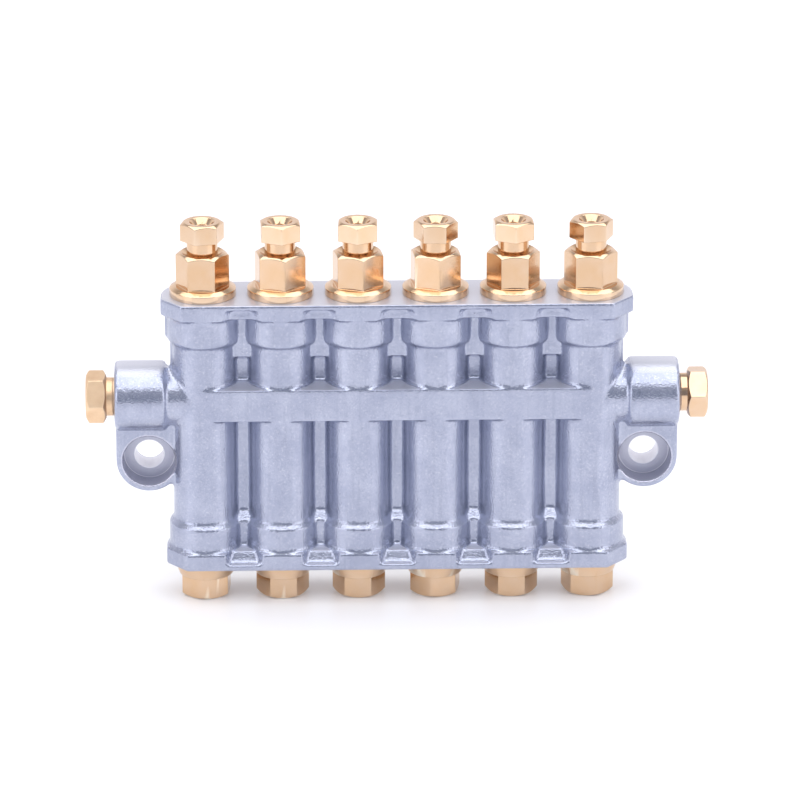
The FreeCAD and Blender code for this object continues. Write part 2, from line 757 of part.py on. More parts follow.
def make_outlet_body(number, x):
    """Brass outlet body: thread, flange and hexagon, with the check valve's room and the tube union."""
    body = new_body(f"outlet_body_{number}")
    top, flange = s.top_level, s.thread_radius + s.flange_width
    outline = (
        (0.0, CORE_TOP),
        (s.thread_radius, CORE_TOP),
        (s.thread_radius, top),
        (flange, top),
        (flange, top + s.flange_rim),
        (flange - s.flange_slope, top + s.flange_height),
        (0.0, top + s.flange_height),
    )
    turn(body, "Revolution", "flange", outline)
    base = top + s.flange_rim
    sketch = draw(body, "hexagon_outline", "XY_Plane", hexagon(s.body_hex), offset=base)
    pad(body, "hexagon_pad", sketch, BODY_TOP - base)
    bevel_hexagon(body, "hexagon_bevel", s.body_hex, BODY_TOP, True)
    union = s.union_radius + s.thread_gap
    outline = (
        (0.0, CORE_TOP),
        (s.valve_bore, CORE_TOP),
        (s.valve_bore, ROOM_TOP),
        (s.outlet_bore, ROOM_TOP),
        (s.outlet_bore, SOCKET_END),
        (s.tube_bore, SOCKET_END),
        (s.tube_bore, CONE_END),
        (s.cone_radius, UNION_FLOOR),
        (union, UNION_FLOOR),
        (union, BODY_TOP - s.union_mouth),
        (union + s.union_mouth, BODY_TOP),
        (0.0, BODY_TOP),
    )
    turn(body, "Groove", "passage", outline)
    seat(body, x, 0.0, BODY_TURNS[(number - 1) % len(BODY_TURNS)])
    return body


def make_tube_nut(number, x):
    """Brass tube nut: thread, neck and small hexagon with a countersunk tube hole."""
    body = new_body(f"tube_nut_{number}")
    base = BODY_TOP + s.nut_neck
    top = base + s.nut_head
    middle = base + s.nut_head / 2
    outline = (
        (0.0, NUT_LOW),
        (s.union_radius, NUT_LOW),
        (s.union_radius, middle),
        (0.0, middle),
    )
    turn(body, "Revolution", "shank", outline)
    sketch = draw(body, "hexagon_outline", "XY_Plane", hexagon(s.nut_hex), offset=base)
    pad(body, "hexagon_pad", sketch, s.nut_head)
    bevel_hexagon(body, "hexagon_bevel", s.nut_hex, top, True)
    mouth = s.ferrule_radius + s.rest_gap
    outline = (
        (0.0, NUT_LOW),
        (mouth, NUT_LOW),
        (s.nut_bore, NUT_LOW + (mouth - s.nut_bore) * CONE_SLOPE),
        (s.nut_bore, top - s.nut_sink),
        (s.nut_mouth, top),
        (0.0, top),
    )
    turn(body, "Groove", "tube_hole", outline)
    seat(body, x, 0.0, NUT_TURNS[(number - 1) % len(NUT_TURNS)])
    return body


def make_ferrule(number, x):
    """Double-cone ring that grips the tube between nut and outlet body."""
    body = new_body(f"ferrule_{number}")
    band_top = BAND_LOW + s.ferrule_band
    edge = s.tube_bore + s.ferrule_edge
    high = band_top + (s.ferrule_radius - edge) * CONE_SLOPE
    outline = (
        (s.tube_bore, FERRULE_LOW),
        (edge, FERRULE_LOW),
        (s.ferrule_radius, BAND_LOW),
        (s.ferrule_radius, band_top),
        (edge, high),
        (s.tube_bore, high),
    )
    turn(body, "Revolution", "ring", outline)
    seat(body, x)
    return body


def make_check_ball(number, x):
    """Steel ball that closes the valve core's mouth."""
    ball = doc.addObject("Part::Sphere", f"check_ball_{number}")
    ball.Label = f"check_ball_{number}"
    bind(ball, "Radius", s.ball_radius)
    seat(ball, x, BALL_REST)
    return ball


def make_spring(label, x, coil, wire, turns, low, high):
    """Compression spring of flat wire, standing on the tube's axis."""
    body = new_body(label)
    inner, outer = coil - wire / 2, coil + wire / 2
    outline = ((inner, 0.0), (outer, 0.0), (outer, wire), (inner, wire))
    sketch = draw(body, "wire_outline", "XZ_Plane", outline)
    helix = feature(body, "AdditiveHelix", "helix", sketch, ReferenceAxis=(sketch, ["V_Axis"]))
    helix.Mode = "height-turns-angle"
    bind(helix, "Height", high - low - wire)
    bind(helix, "Turns", turns)
    seat(body, x, low)
    return body


def make_valve_core(number, x):
    """Brass core: a hollow stem from the metering bore past the gallery to the check valve."""
    body = new_body(f"valve_core_{number}")
    land = s.core_bore - s.thread_gap
    ring_low = LAND_END + (s.land_length - s.ring_height) / 2
    ring_high = ring_low + s.ring_height
    groove = land - s.ring_depth
    outline = (
        (0.0, STEM_END),
        (s.stop_radius, STEM_END),
        (s.stop_radius, STEM_END + s.stop_height),
        (s.stem_radius, STEM_END + s.stop_height),
        (s.stem_radius, LAND_END),
        (land, LAND_END),
        (land, ring_low),
        (groove, ring_low),
        (groove, ring_high),
        (land, ring_high),
        (land, CORE_LEDGE),
        (s.thread_radius, CORE_LEDGE),
        (s.thread_radius, CORE_TOP),
        (s.ball_seat, CORE_TOP),
        (s.stem_bore, CORE_TOP - s.ball_cone),
        (s.stem_bore, VALVE_LOW),
        (0.0, VALVE_LOW),
    )
    turn(body, "Revolution", "stem", outline)
    level = VALVE_LOW + s.valve_travel / 2
    hole = draw_circle(body, "port_outline", "XZ_Plane", 0.0, level, s.stem_port)
    pocket(body, "port", hole, s.stop_radius * 2, Midplane=True)
    seat(body, x)
    return body


def make_core_ring(number, x):
    """Rubber ring in the groove of the core's land."""
    land = s.core_bore - s.thread_gap
    low = LAND_END + (s.land_length - s.ring_height) / 2 + s.seal_gap
    high = low + s.ring_height - s.seal_gap * 2
    inner, outer = land - s.ring_depth + s.seal_gap, s.core_bore - s.seal_gap
    return make_ring(f"core_ring_{number}", x, inner, outer, low, high)


def make_ring(label, x, inner, outer, low, high):
    """A flat ring about a tube's axis."""
    body = new_body(label)
    turn(body, "Revolution", "ring", ((inner, low), (outer, low), (outer, high), (inner, high)))
    seat(body, x)
    return body


def make_umbrella_valve(number, x):
    """Rubber ring with a flared lip, which slides on the core's stem."""
    body = new_body(f"umbrella_valve_{number}")
    hole = s.stem_radius + s.rest_gap
    edge = s.chamber_radius - s.rest_gap
    hem = VALVE_LOW + s.valve_hem
    outline = (
        (hole, VALVE_LOW),
        (s.valve_root, VALVE_LOW),
        (s.valve_root, VALVE_LOW + s.valve_notch),
        (edge - s.valve_lip, hem),
        (edge, hem),
        (edge, hem + s.valve_lip),
        (s.valve_crown, VALVE_LOW + s.valve_height),
        (hole, VALVE_LOW + s.valve_height),
    )
    turn(body, "Revolution", "lip_ring", outline)
    seat(body, x)
    return body


def make_piston(number, x):
    """Steel metering piston: ground crown with an oil groove, and a skirt over its spring."""
    body = new_body(f"metering_piston_{number}")
    radius = s.chamber_radius - s.piston_gap
    crown = PISTON_TOP - s.piston_crown
    groove = PISTON_TOP - (s.piston_crown - s.groove_height) / 2
    outline = (
        (0.0, crown),
        (radius - s.piston_wall, crown),
        (radius - s.piston_wall, PISTON_END),
        (radius, PISTON_END),
        (radius, groove - s.groove_height),
        (radius - s.groove_depth, groove - s.groove_height),
        (radius - s.groove_depth, groove),
        (radius, groove),
        (radius, PISTON_TOP),
        (0.0, PISTON_TOP),
    )
    turn(body, "Revolution", "skirt", outline)
    seat(body, x)
    return body


def make_bottom_plug(number, x):
    """Brass plug: nose with the spring's seat, thread, tapered flange and hexagon."""
    body = new_body(f"bottom_plug_{number}")
    top, flange = -s.bottom_level, s.thread_radius + s.plug_width
    bore = s.nose_radius - s.nose_wall
    shoulder = PORT_END - s.rest_gap
    outline = (
        (0.0, top - s.plug_taper),
        (s.plug_neck, top - s.plug_taper),
        (flange, top - s.plug_rim),
        (flange, top),
        (s.thread_radius, top),
        (s.thread_radius, shoulder),
        (s.nose_radius, shoulder),
        (s.nose_radius, NOSE_TOP),
        (bore, NOSE_TOP),
        (bore, SPRING_FLOOR),
        (0.0, SPRING_FLOOR),
    )
    turn(body, "Revolution", "stem", outline)
    base = top - s.plug_rim
    end = top - s.plug_taper - s.plug_hex_height
    sketch = draw(body, "hexagon_outline", "XY_Plane", hexagon(s.body_hex), offset=end)
    pad(body, "hexagon_pad", sketch, base - end)
    bevel_hexagon(body, "hexagon_bevel", s.body_hex, end, False)
    seat(body, x, 0.0, PLUG_TURNS[(number - 1) % len(PLUG_TURNS)])
    return body


def make_inlet_plug(label, side, turned):
    """Brass plug in an inlet thread. It is drawn upright, with the boss's end face at z = 0."""
    body = new_body(label)
    end = s.inlet_neck + s.inlet_head
    middle = s.inlet_neck + s.inlet_head / 2
    outline = (
        (0.0, -s.inlet_shank),
        (s.inlet_radius, -s.inlet_shank),
        (s.inlet_radius, middle),
        (0.0, middle),
    )
    turn(body, "Revolution", "shank", outline)
    sketch = draw(body, "hexagon_outline", "XY_Plane", hexagon(s.body_hex), offset=s.inlet_neck)
    pad(body, "hexagon_pad", sketch, s.inlet_head)
    bevel_hexagon(body, "outer_bevel", s.body_hex, end, True)
    bevel_hexagon(body, "inner_bevel", s.body_hex, s.inlet_neck, False)
    seat(body, BOSS_END * side, 0.0)
    lay_down = FreeCAD.Rotation(FreeCAD.Vector(0, 1, 0), 90.0 * side)
    spin = FreeCAD.Rotation(FreeCAD.Vector(0, 0, 1), turned)
    body.Placement.Rotation = lay_down.multiply(spin)
    return body


def gather(label, members):
    """One node of several like pieces that stay separate solids."""
    group = doc.addObject("Part::Compound", label)
    group.Label = label
    group.Links = members
    return group


def make_unit(number):
    """The nodes of one metering unit, and its small rings for the shared nodes."""
    x = axis_of(number - 1)
    ball_cap = root(s.ball_radius * s.ball_radius - CHECK_INNER * CHECK_INNER)
    check_low = BALL_REST + ball_cap + s.rest_gap
    check_high = ROOM_TOP - s.rest_gap
    spring_low = SPRING_FLOOR + s.rest_gap
    spring_high = PISTON_TOP - s.piston_crown - s.rest_gap
    check = (s.check_coil, s.check_wire, s.check_turns, check_low, check_high)
    strong = (s.spring_coil, s.spring_wire, s.spring_turns, spring_low, spring_high)
    inner, outer = s.thread_radius + s.thread_gap, SEAL_RADIUS - s.seal_gap
    low_seal = (inner, outer, s.seal_gap - s.bottom_level, s.seal_height - s.bottom_level)
    high_seal = (inner, outer, s.top_level - s.seal_height, s.top_level - s.seal_gap)
    nodes = (
        make_outlet_body(number, x),
        make_tube_nut(number, x),
        make_check_ball(number, x),
        make_spring(f"check_spring_{number}", x, *check),
        make_valve_core(number, x),
        make_umbrella_valve(number, x),
        make_piston(number, x),
        make_spring(f"piston_spring_{number}", x, *strong),
        make_bottom_plug(number, x),
    )
    seals = (
        make_ring(f"outlet_seal_{number}", x, *high_seal),
        make_ring(f"plug_seal_{number}", x, *low_seal),
    )
    return nodes, make_ferrule(number, x), make_core_ring(number, x), seals


def check_and_export(nodes):
    """Stops on any failed object or shape, then writes one STEP file for each node."""
    doc.recompute()
    for thing in doc.Objects:
        if "Invalid" in thing.State or "Error" in thing.State:
            raise RuntimeError(f"{thing.Name} failed: {thing.State}")
    for node in nodes:
        if node.Shape.isNull() or not node.Shape.isValid() or not node.Shape.Solids:
            raise RuntimeError(f"{node.Label} has no valid solid")
    os.makedirs("parts", exist_ok=True)
    for node in nodes:
        node.Shape.exportStep(os.path.join("parts", f"{node.Label}.step"))
        print(node.Label, len(node.Shape.Solids), round(node.Shape.Volume, 1))


nodes = [make_manifold()]
ferrules, core_rings, thread_seals = [], [], []
for number in range(1, COUNT + 1):
    unit, ferrule, core_ring, seals = make_unit(number)
    nodes.extend(unit)
    ferrules.append(ferrule)
    core_rings.append(core_ring)
    thread_seals.extend(seals)
nodes.append(make_inlet_plug("inlet_plug_left", -1, INLET_TURNS[0]))
nodes.append(make_inlet_plug("inlet_plug_right", 1, INLET_TURNS[1]))
nodes.append(gather("ferrules", ferrules))
nodes.append(gather("core_rings", core_rings))
nodes.append(gather("thread_seals", thread_seals))
check_and_export(nodes)
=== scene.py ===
"""Looks of the lubricant divider block: the die casting, its brass fittings and the parts inside."""

import json
import logging
import math
from dataclasses import dataclass, field, replace
from enum import Enum
from typing import Callable, Sequence

import bmesh
import bpy
import numpy as np
from mathutils import Matrix, Vector


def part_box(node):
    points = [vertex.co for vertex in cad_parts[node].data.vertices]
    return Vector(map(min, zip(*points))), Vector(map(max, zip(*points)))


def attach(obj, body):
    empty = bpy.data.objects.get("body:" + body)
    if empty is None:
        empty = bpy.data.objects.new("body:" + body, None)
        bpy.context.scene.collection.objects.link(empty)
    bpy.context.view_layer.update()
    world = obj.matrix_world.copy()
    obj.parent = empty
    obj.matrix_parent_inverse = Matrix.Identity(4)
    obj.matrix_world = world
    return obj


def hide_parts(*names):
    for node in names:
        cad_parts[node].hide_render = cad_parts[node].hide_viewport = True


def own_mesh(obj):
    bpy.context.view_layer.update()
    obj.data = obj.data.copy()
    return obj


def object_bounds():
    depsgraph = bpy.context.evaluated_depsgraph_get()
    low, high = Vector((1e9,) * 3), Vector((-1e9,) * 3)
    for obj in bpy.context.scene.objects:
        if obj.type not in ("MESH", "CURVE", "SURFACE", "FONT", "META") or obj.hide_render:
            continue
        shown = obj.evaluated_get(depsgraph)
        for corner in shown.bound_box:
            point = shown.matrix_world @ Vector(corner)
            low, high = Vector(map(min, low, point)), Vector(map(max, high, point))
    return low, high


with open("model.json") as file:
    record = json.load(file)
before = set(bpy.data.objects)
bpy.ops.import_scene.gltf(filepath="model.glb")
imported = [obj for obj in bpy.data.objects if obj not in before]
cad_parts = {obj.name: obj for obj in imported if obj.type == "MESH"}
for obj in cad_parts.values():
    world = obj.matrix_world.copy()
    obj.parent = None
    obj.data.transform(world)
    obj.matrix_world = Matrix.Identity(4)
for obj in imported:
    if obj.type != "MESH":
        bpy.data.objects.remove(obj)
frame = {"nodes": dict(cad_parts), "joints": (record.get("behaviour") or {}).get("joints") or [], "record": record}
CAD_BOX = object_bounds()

LOG = logging.getLogger("divider_block")
MM = 0.001
TINY = 1e-9
BLOCK = "block"

Corner = tuple[float, float]
Colour = tuple[float, float, float]
Outline = Callable[[float], Sequence[Corner]]
Socket = bpy.types.NodeSocket
Piece = bpy.types.Object


class Slot(str, Enum):
    """The record's material slots."""

    CASTING = "casting"
    FITTING_BRASS = "fitting_brass"
    CORE_BRASS = "core_brass"
    GROUND_STEEL = "ground_steel"
    SPRING_STEEL = "spring_steel"
    VALVE_RUBBER = "valve_rubber"
    SEAL_RUBBER = "seal_rubber"


@dataclass(frozen=True)
class Pattern:
    """A pattern in a finish: its size, its finer octaves, and how deep and how strongly it shows as bump."""

    size: float
    detail: float = 3.0
    depth: float = 0.0
    strength: float = 0.0
    stretch: tuple[float, float, float] = (1.0, 1.0, 1.0)


@dataclass(frozen=True)
class Tint:
    """Where in a pattern a second tone starts, where it is full, and how much of it shows there."""

    start: float
    full: float
    share: float = 1.0


class Graph:
    """The node tree of one material, with a short call for each kind of node that the finishes share."""

    WAVES_PER_UNIT = 20.0
    SHARP_STEP = 0.1 * MM

    def __init__(self, name: str) -> None:
        """Starts a material around its surface shader.

        Args:
            name: the material's name.
        """
        self.material = bpy.data.materials.new(name)
        self.material.use_nodes = True
        self.tree = self.material.node_tree
        self.shader = next(n for n in self.tree.nodes if n.type == "BSDF_PRINCIPLED")
        self.place = self.add("ShaderNodeTexCoord").outputs["Object"]

    def add(self, kind: str, **settings: object) -> bpy.types.Node:
        """Adds a node.

        Args:
            kind: the node's type name.
            settings: its plain properties.

        Returns:
            The new node.
        """
        node = self.tree.nodes.new(kind)
        for key, value in settings.items():
            setattr(node, key, value)
        return node

    def feed(self, target: Socket, value: object) -> None:
        """Links an output to an input, or sets the input to a plain value.

        Args:
            target: the input.
            value: an output, or a plain value.
        """
        if isinstance(value, Socket):
            self.tree.links.new(value, target)
        else:
            target.default_value = value

    def stretched(self, stretch: Sequence[float]) -> Socket:
        """The object's own coordinates, scaled along each axis.

        Args:
            stretch: the three scale factors.

        Returns:
            The scaled coordinates.
        """
        mapping = self.add("ShaderNodeMapping")
        self.feed(mapping.inputs["Scale"], stretch)
        self.feed(mapping.inputs["Vector"], self.place)
        return mapping.outputs["Vector"]

    def noise(self, pattern: Pattern) -> Socket:
        """A cloudy pattern.

        Args:
            pattern: its size, octaves and stretch.

        Returns:
            The pattern's value, about 0.5 on average.
        """
        node = self.add("ShaderNodeTexNoise")
        self.feed(node.inputs["Scale"], 1.0 / pattern.size)
        self.feed(node.inputs["Detail"], pattern.detail)
        self.feed(node.inputs["Vector"], self.stretched(pattern.stretch))
        return node.outputs["Fac"]

    def spread(self, value: Socket, source: Corner, target: Sequence[object]) -> Socket:
        """Maps one range of values to another, held at its ends.

        Args:
            value: the value to map.
            source: the range it comes from.
            target: the range it goes to, each end plain or a socket.

        Returns:
            The mapped value.
        """
        node = self.add("ShaderNodeMapRange", clamp=True)
        for name, end in zip(("From Min", "From Max", "To Min", "To Max"), (*source, *target)):
            self.feed(node.inputs[name], end)
        self.feed(node.inputs["Value"], value)
        return node.outputs["Result"]

    def within(self, value: Socket, limit: float, most: object = 1.0, fade: float = SHARP_STEP) -> Socket:
        """Tells where a length lies under a limit.

        Args:
            value: the length.
            limit: the limit.
            most: what to give under the limit, plain or a socket.
            fade: how far over the limit it falls to 0.

        Returns:
            That amount under the limit, and 0 over it.
        """
        return self.spread(value, (limit, limit + fade), (most, 0.0))

    def blend(self, share: Socket, low: object, high: object) -> Socket:
        """Mixes two colours, amounts or normals.

        Args:
            share: how much of the second shows.
            low: the first, a socket, a colour or a number.
            high: the second, a socket, a colour or a number.

        Returns:
            The mixture.
        """
        node = self.add("ShaderNodeMix", data_type="RGBA")
        self.feed(node.inputs[0], share)
        for target, value in ((node.inputs[6], low), (node.inputs[7], high)):
            if isinstance(value, float):
                value = (value, value, value)
            self.feed(target, value if isinstance(value, Socket) else (*value, 1.0))
        return node.outputs[2]

    def tint(self, height: Socket, tint: Tint, under: object, tone: Colour) -> Socket:
        """Lays a second tone over a first where a pattern is strong.

        Args:
            height: the pattern.
            tint: where and how much of the tone shows.
            under: the first tone, plain or a socket.
            tone: the second tone.

        Returns:
            The mixed tone.
        """
        return self.blend(self.spread(height, (tint.start, tint.full), (0.0, tint.share)), under, tone)

    def relief(self, height: Socket, pattern: Pattern, under: Socket | None = None) -> Socket:
        """Bump from a height pattern, laid over other bump if there is any.

        Args:
            height: the pattern's height.
            pattern: its depth and strength.
            under: the normal that it is laid on.

        Returns:
            The bumped normal.
        """
        node = self.add("ShaderNodeBump")
        self.feed(node.inputs["Distance"], pattern.depth)
        self.feed(node.inputs["Strength"], pattern.strength)
        self.feed(node.inputs["Height"], height)
        if under is not None:
            self.feed(node.inputs["Normal"], under)
        return node.outputs["Normal"]

    def worn_and_highlit_edges(self, low: float, high: float) -> Socket:
        """How convex the surface is, for edges that handling has brightened and that are painted with a highlight.

        Args:
            low: the pointiness where wear starts.
            high: the pointiness where it is full.

        Returns:
            The wear, from 0 to 1.
        """
        return self.spread(self.add("ShaderNodeNewGeometry").outputs["Pointiness"], (low, high), (0.0, 1.0))

    def facing_up(self, low: float, high: float) -> Socket:
        """How much the surface faces up, for tops that are painted lighter as if lit from above.

        Args:
            low: the upward share of the normal where it starts.
            high: the share where it is full.

        Returns:
            The amount, from 0 to 1.
        """
        parts = self.parts_of(self.add("ShaderNodeNewGeometry").outputs["Normal"])
        return self.spread(parts["Z"], (low, high), (0.0, 1.0))

    def parts_of(self, vector: Socket) -> bpy.types.bpy_prop_collection:
        """The X, Y and Z of a vector, as outputs."""
        split = self.add("ShaderNodeSeparateXYZ")
        self.feed(split.inputs["Vector"], vector)
        return split.outputs

    def turned_rings(self, spacing: float) -> Socket:
        """Fine rings about the piece's own axis, as a lathe leaves them.

        Args:
            spacing: the distance between rings in metres.

        Returns:
            The rings' height.
        """
        wave = self.add("ShaderNodeTexWave", wave_type="RINGS", rings_direction="Z", wave_profile="SIN")
        self.feed(wave.inputs["Scale"], 1.0 / (spacing * self.WAVES_PER_UNIT))
        self.feed(wave.inputs["Distortion"], 0.6)
        self.feed(wave.inputs["Detail"], 1.0)
        self.feed(wave.inputs["Vector"], self.stretched((1, 1, 0.45)))
        return wave.outputs["Fac"]

    def reach_from(self, across: float) -> Socket:
        """How far the surface lies from the nearer of two axes along Y, one at each side of the middle.

        Args:
            across: the distance of the axes from the middle.

        Returns:
            The distance in metres.
        """
        parts = self.parts_of(self.place)
        side = self.add("ShaderNodeMath", operation="ABSOLUTE")
        offset = self.add("ShaderNodeMath", operation="SUBTRACT")
        flat = self.add("ShaderNodeCombineXYZ")
        reach = self.add("ShaderNodeVectorMath", operation="LENGTH")
        self.feed(side.inputs[0], parts["X"])
        self.feed(offset.inputs[0], side.outputs[0])
        self.feed(offset.inputs[1], across)
        self.feed(flat.inputs["X"], offset.outputs[0])
        self.feed(flat.inputs["Z"], parts["Z"])
        self.feed(reach.inputs[0], flat.outputs["Vector"])
        return reach.outputs["Value"]

    def ahead_of(self, level: float) -> Socket:
        """1 where the surface lies in front of a level across Y, and 0 behind it."""
        return self.within(self.parts_of(self.place)["Y"], level)

    def tool_marks(self, reach: Socket, spacing: float) -> Socket:
        """Uneven rings about an axis, as a boring tool leaves them.

        Args:
            reach: the distance from the axis.
            spacing: the usual distance between rings in metres.

        Returns:
            The rings' height.
        """
        scaled = self.add("ShaderNodeMath", operation="MULTIPLY")
        self.feed(scaled.inputs[0], reach)
        self.feed(scaled.inputs[1], 1.0 / spacing)
        node = self.add("ShaderNodeTexNoise", noise_dimensions="1D")
        self.feed(node.inputs["W"], scaled.outputs[0])
        self.feed(node.inputs["Scale"], 1.0)
        return node.outputs["Fac"]

    def finish(self, **values: object) -> bpy.types.Material:
        """Feeds the shader's own sockets, named with underscores.

        Args:
            values: an output or a plain value for each.

        Returns:
            The finished material.
        """
        for name, value in values.items():
            self.feed(self.shader.inputs[name.replace("_", " ")], value)
        return self.material


@dataclass(frozen=True)
class CastAlloy:
    """Tumbled die casting: sandy grain on a bright skin, clouds, drag marks, bored screw seats with painted
    highlight and shade, and tops painted lighter as if lit from above.
    """

    seat_axis: float
    name: str = "tumbled_casting"
    shade: Colour = (0.38, 0.41, 0.53)
    light: Colour = (0.48, 0.51, 0.63)
    rubbed: Colour = (0.85, 0.86, 0.93)
    bored: Colour = (0.60, 0.61, 0.71)
    # the bright tone of the hole, and a painted highlight ring at the outer edge of the seat's floor
    drilled_and_rim_highlight: Colour = (0.90, 0.90, 0.96)
    # painted shade: a darker tone on the seat's wall
    painted_wall_shade: Colour = (0.42, 0.43, 0.53)
    # a lighter ring on the chamfered mouth of each screw seat, in front of the back face
    lip_ring_tone: Colour = (0.62, 0.63, 0.74)
    # painted light: a lighter tone for surfaces that face up, as if lit from above
    painted_top_light: Colour = (0.62, 0.63, 0.71)
    dulling: float = 0.78
    cloud: Pattern = Pattern(9 * MM, 4.0, 0.06 * MM, 0.30)
    mottle: Pattern = Pattern(1.6 * MM, 3.0, 0.06 * MM, 0.40)
    drag: Pattern = Pattern(1.0 * MM, 3.0, 0.06 * MM, 0.45, (1.0, 1.0, 0.05))
    grain: Pattern = Pattern(0.50 * MM, 2.0, 0.11 * MM, 0.75)
    tool: Pattern = Pattern(0.35 * MM, depth=0.05 * MM, strength=0.8)
    clouded: Tint = Tint(0.30, 0.70)
    mottled: Tint = Tint(0.52, 0.76, 0.18)
    dragged: Tint = Tint(0.52, 0.72, 0.30)
    grain_tops: Tint = Tint(0.57, 0.73, 0.28)
    grain_pits: Tint = Tint(0.45, 0.29, 0.35)
    smooth: float = 0.18
    rough: float = 0.26
    up_facing_rough: float = 0.34
    bored_rough: float = 0.44
    metal: float = 0.75
    up_facing_metal: float = 0.55
    bored_metal: float = 0.60
    back_skin: float = 0.5 * MM
    hole: float = 3.95 * MM
    seat_rim: float = 6.35 * MM
    seat_wall: float = 6.62 * MM
    wall_fade: float = 0.06 * MM
    seat: float = 6.8 * MM
    lip: float = 7.25 * MM

    def build(self) -> bpy.types.Material:
        """Makes the cast finish.

        Returns:
            The finished material.
        """
        graph = Graph(self.name)
        patterns = (self.cloud, self.mottle, self.drag, self.grain)
        clouds, mottle, drag, grain = heights = [graph.noise(pattern) for pattern in patterns]
        normal = None
        for height, pattern in zip(heights, patterns):
            normal = graph.relief(height, pattern, normal)
        dull = tuple(self.dulling * part for part in self.shade)
        tone = graph.tint(clouds, self.clouded, self.shade, self.light)
        tone = graph.tint(mottle, self.mottled, tone, dull)
        tone = graph.tint(drag, self.dragged, tone, dull)
        tone = graph.tint(grain, self.grain_tops, tone, self.rubbed)
        tone = graph.tint(grain, self.grain_pits, tone, dull)
        reach, ahead = graph.reach_from(self.seat_axis), graph.ahead_of(-self.back_skin)
        painted_top_light, machined = graph.facing_up(0.80, 0.97), graph.within(reach, self.seat, ahead)
        # painted light: surfaces facing up take the lighter top tone
        tone = graph.blend(painted_top_light, tone, self.painted_top_light)
        tone = graph.blend(graph.within(reach, self.lip, ahead), tone, self.lip_ring_tone)
        rough = graph.spread(mottle, (0.35, 0.65), (self.smooth, self.rough))
        rough = graph.blend(painted_top_light, rough, self.up_facing_rough)
        metal = graph.blend(painted_top_light, self.metal, self.up_facing_metal)
        rings = graph.relief(graph.tool_marks(reach, self.tool.size), self.tool)
        return graph.finish(
            Base_Color=graph.blend(machined, tone, self._seat_tone(graph, reach)),
            Roughness=graph.blend(machined, rough, self.bored_rough),
            Metallic=graph.blend(machined, metal, self.bored_metal),
            Normal=graph.blend(machined, normal, rings),
        )

    def _seat_tone(self, graph: Graph, reach: Socket) -> Socket:
        """The tone in a screw's seat: a bright hole, a grey floor with a painted highlight ring at its outer edge,
        and a wall darkened with painted shade.

        Args:
            graph: the material's nodes.
            reach: the distance from the nearer mounting hole's axis.

        Returns:
            The tone.
        """
        # painted highlight: a bright ring at the floor's outer edge; painted shade: the wall beyond it darker
        tone = graph.blend(graph.within(reach, self.seat_rim), self.drilled_and_rim_highlight, self.bored)
        tone = graph.blend(graph.within(reach, self.seat_wall, fade=self.wall_fade), self.painted_wall_shade, tone)
        return graph.blend(graph.within(reach, self.hole), tone, self.drilled_and_rim_highlight)


@dataclass(frozen=True)
class Brass:
    """Bright brass: turned rings, faint drawn lines on the flats, a little tarnish, and convex edges painted pale,
    partly wear and partly painted highlight.
    """

    name: str
    bright: Colour = (0.74, 0.53, 0.36)
    tarnish: Colour = (0.72, 0.47, 0.27)
    # partly wear, partly painted highlight: a pale tone on convex edges
    edge_wear_and_highlight: Colour = (0.97, 0.86, 0.70)
    smooth: float = 0.10
    rough: float = 0.20
    cloud: Pattern = Pattern(5 * MM, 3.0, 0.02 * MM, 0.20)
    handling: Pattern = Pattern(0.5 * MM)
    ring: Pattern = Pattern(0.16 * MM, depth=0.004 * MM, strength=0.35)
    lines: Pattern = Pattern(0.25 * MM, 2.0, 0.01 * MM, 0.25, (1.0, 1.0, 0.1))
    tarnished: Tint = Tint(0.35, 0.75, 0.8)

    def build(self) -> bpy.types.Material:
        """Makes the brass.

        Returns:
            The finished material.
        """
        graph = Graph(self.name)
        clouds = graph.noise(self.cloud)
        tone = graph.tint(clouds, self.tarnished, self.bright, self.tarnish)
        normal = graph.relief(graph.turned_rings(self.ring.size), self.ring)
        normal = graph.relief(graph.noise(self.lines), self.lines, normal)
        return graph.finish(
            # convex edges painted pale: handling wear and a painted highlight
            Base_Color=graph.blend(graph.worn_and_highlit_edges(0.52, 0.62), tone, self.edge_wear_and_highlight),
            Roughness=graph.spread(graph.noise(self.handling), (0.3, 0.7), (self.smooth, self.rough)),
            Metallic=1.0,
            Normal=graph.relief(clouds, self.cloud, normal),
        )


@dataclass(frozen=True)
class Steel:
    """Ground or drawn steel, lightly oiled."""

    name: str
    tone: Colour = (0.60, 0.60, 0.62)
    dark: Colour = (0.42, 0.42, 0.45)
    smooth: float = 0.14
    rough: float = 0.30
    cloud: Pattern = Pattern(3 * MM)
    lines: Pattern = Pattern(0.12 * MM, 2.0, 0.006 * MM, 0.4, (0.2, 0.2, 1.0))

    def build(self) -> bpy.types.Material:
        """Makes the steel.

        Returns:
            The finished material.
        """
        graph = Graph(self.name)
        lines = graph.noise(self.lines)
        return graph.finish(
            Base_Color=graph.blend(graph.noise(self.cloud), self.dark, self.tone),
            Roughness=graph.spread(lines, (0.3, 0.7), (self.smooth, self.rough)),
            Metallic=1.0,
            Normal=graph.relief(lines, self.lines),
        )


@dataclass(frozen=True)
class Rubber:
    """Black moulded rubber with a dull bloom."""

    name: str
    tone: Colour = (0.020, 0.020, 0.022)
    bloom: Colour = (0.070, 0.068, 0.066)
    smooth: float = 0.48
    rough: float = 0.70
    cloud: Pattern = Pattern(2 * MM, 4.0)
    grain: Pattern = Pattern(0.12 * MM, 2.0, 0.02 * MM, 0.4)

    def build(self) -> bpy.types.Material:
        """Makes the rubber.

        Returns:
            The finished material.
        """
        graph = Graph(self.name)
        grain = graph.noise(self.grain)
        return graph.finish(
            Base_Color=graph.blend(graph.noise(self.cloud), self.tone, self.bloom),
            Roughness=graph.spread(grain, (0.3, 0.7), (self.smooth, self.rough)),
            Normal=graph.relief(grain, self.grain),
        )


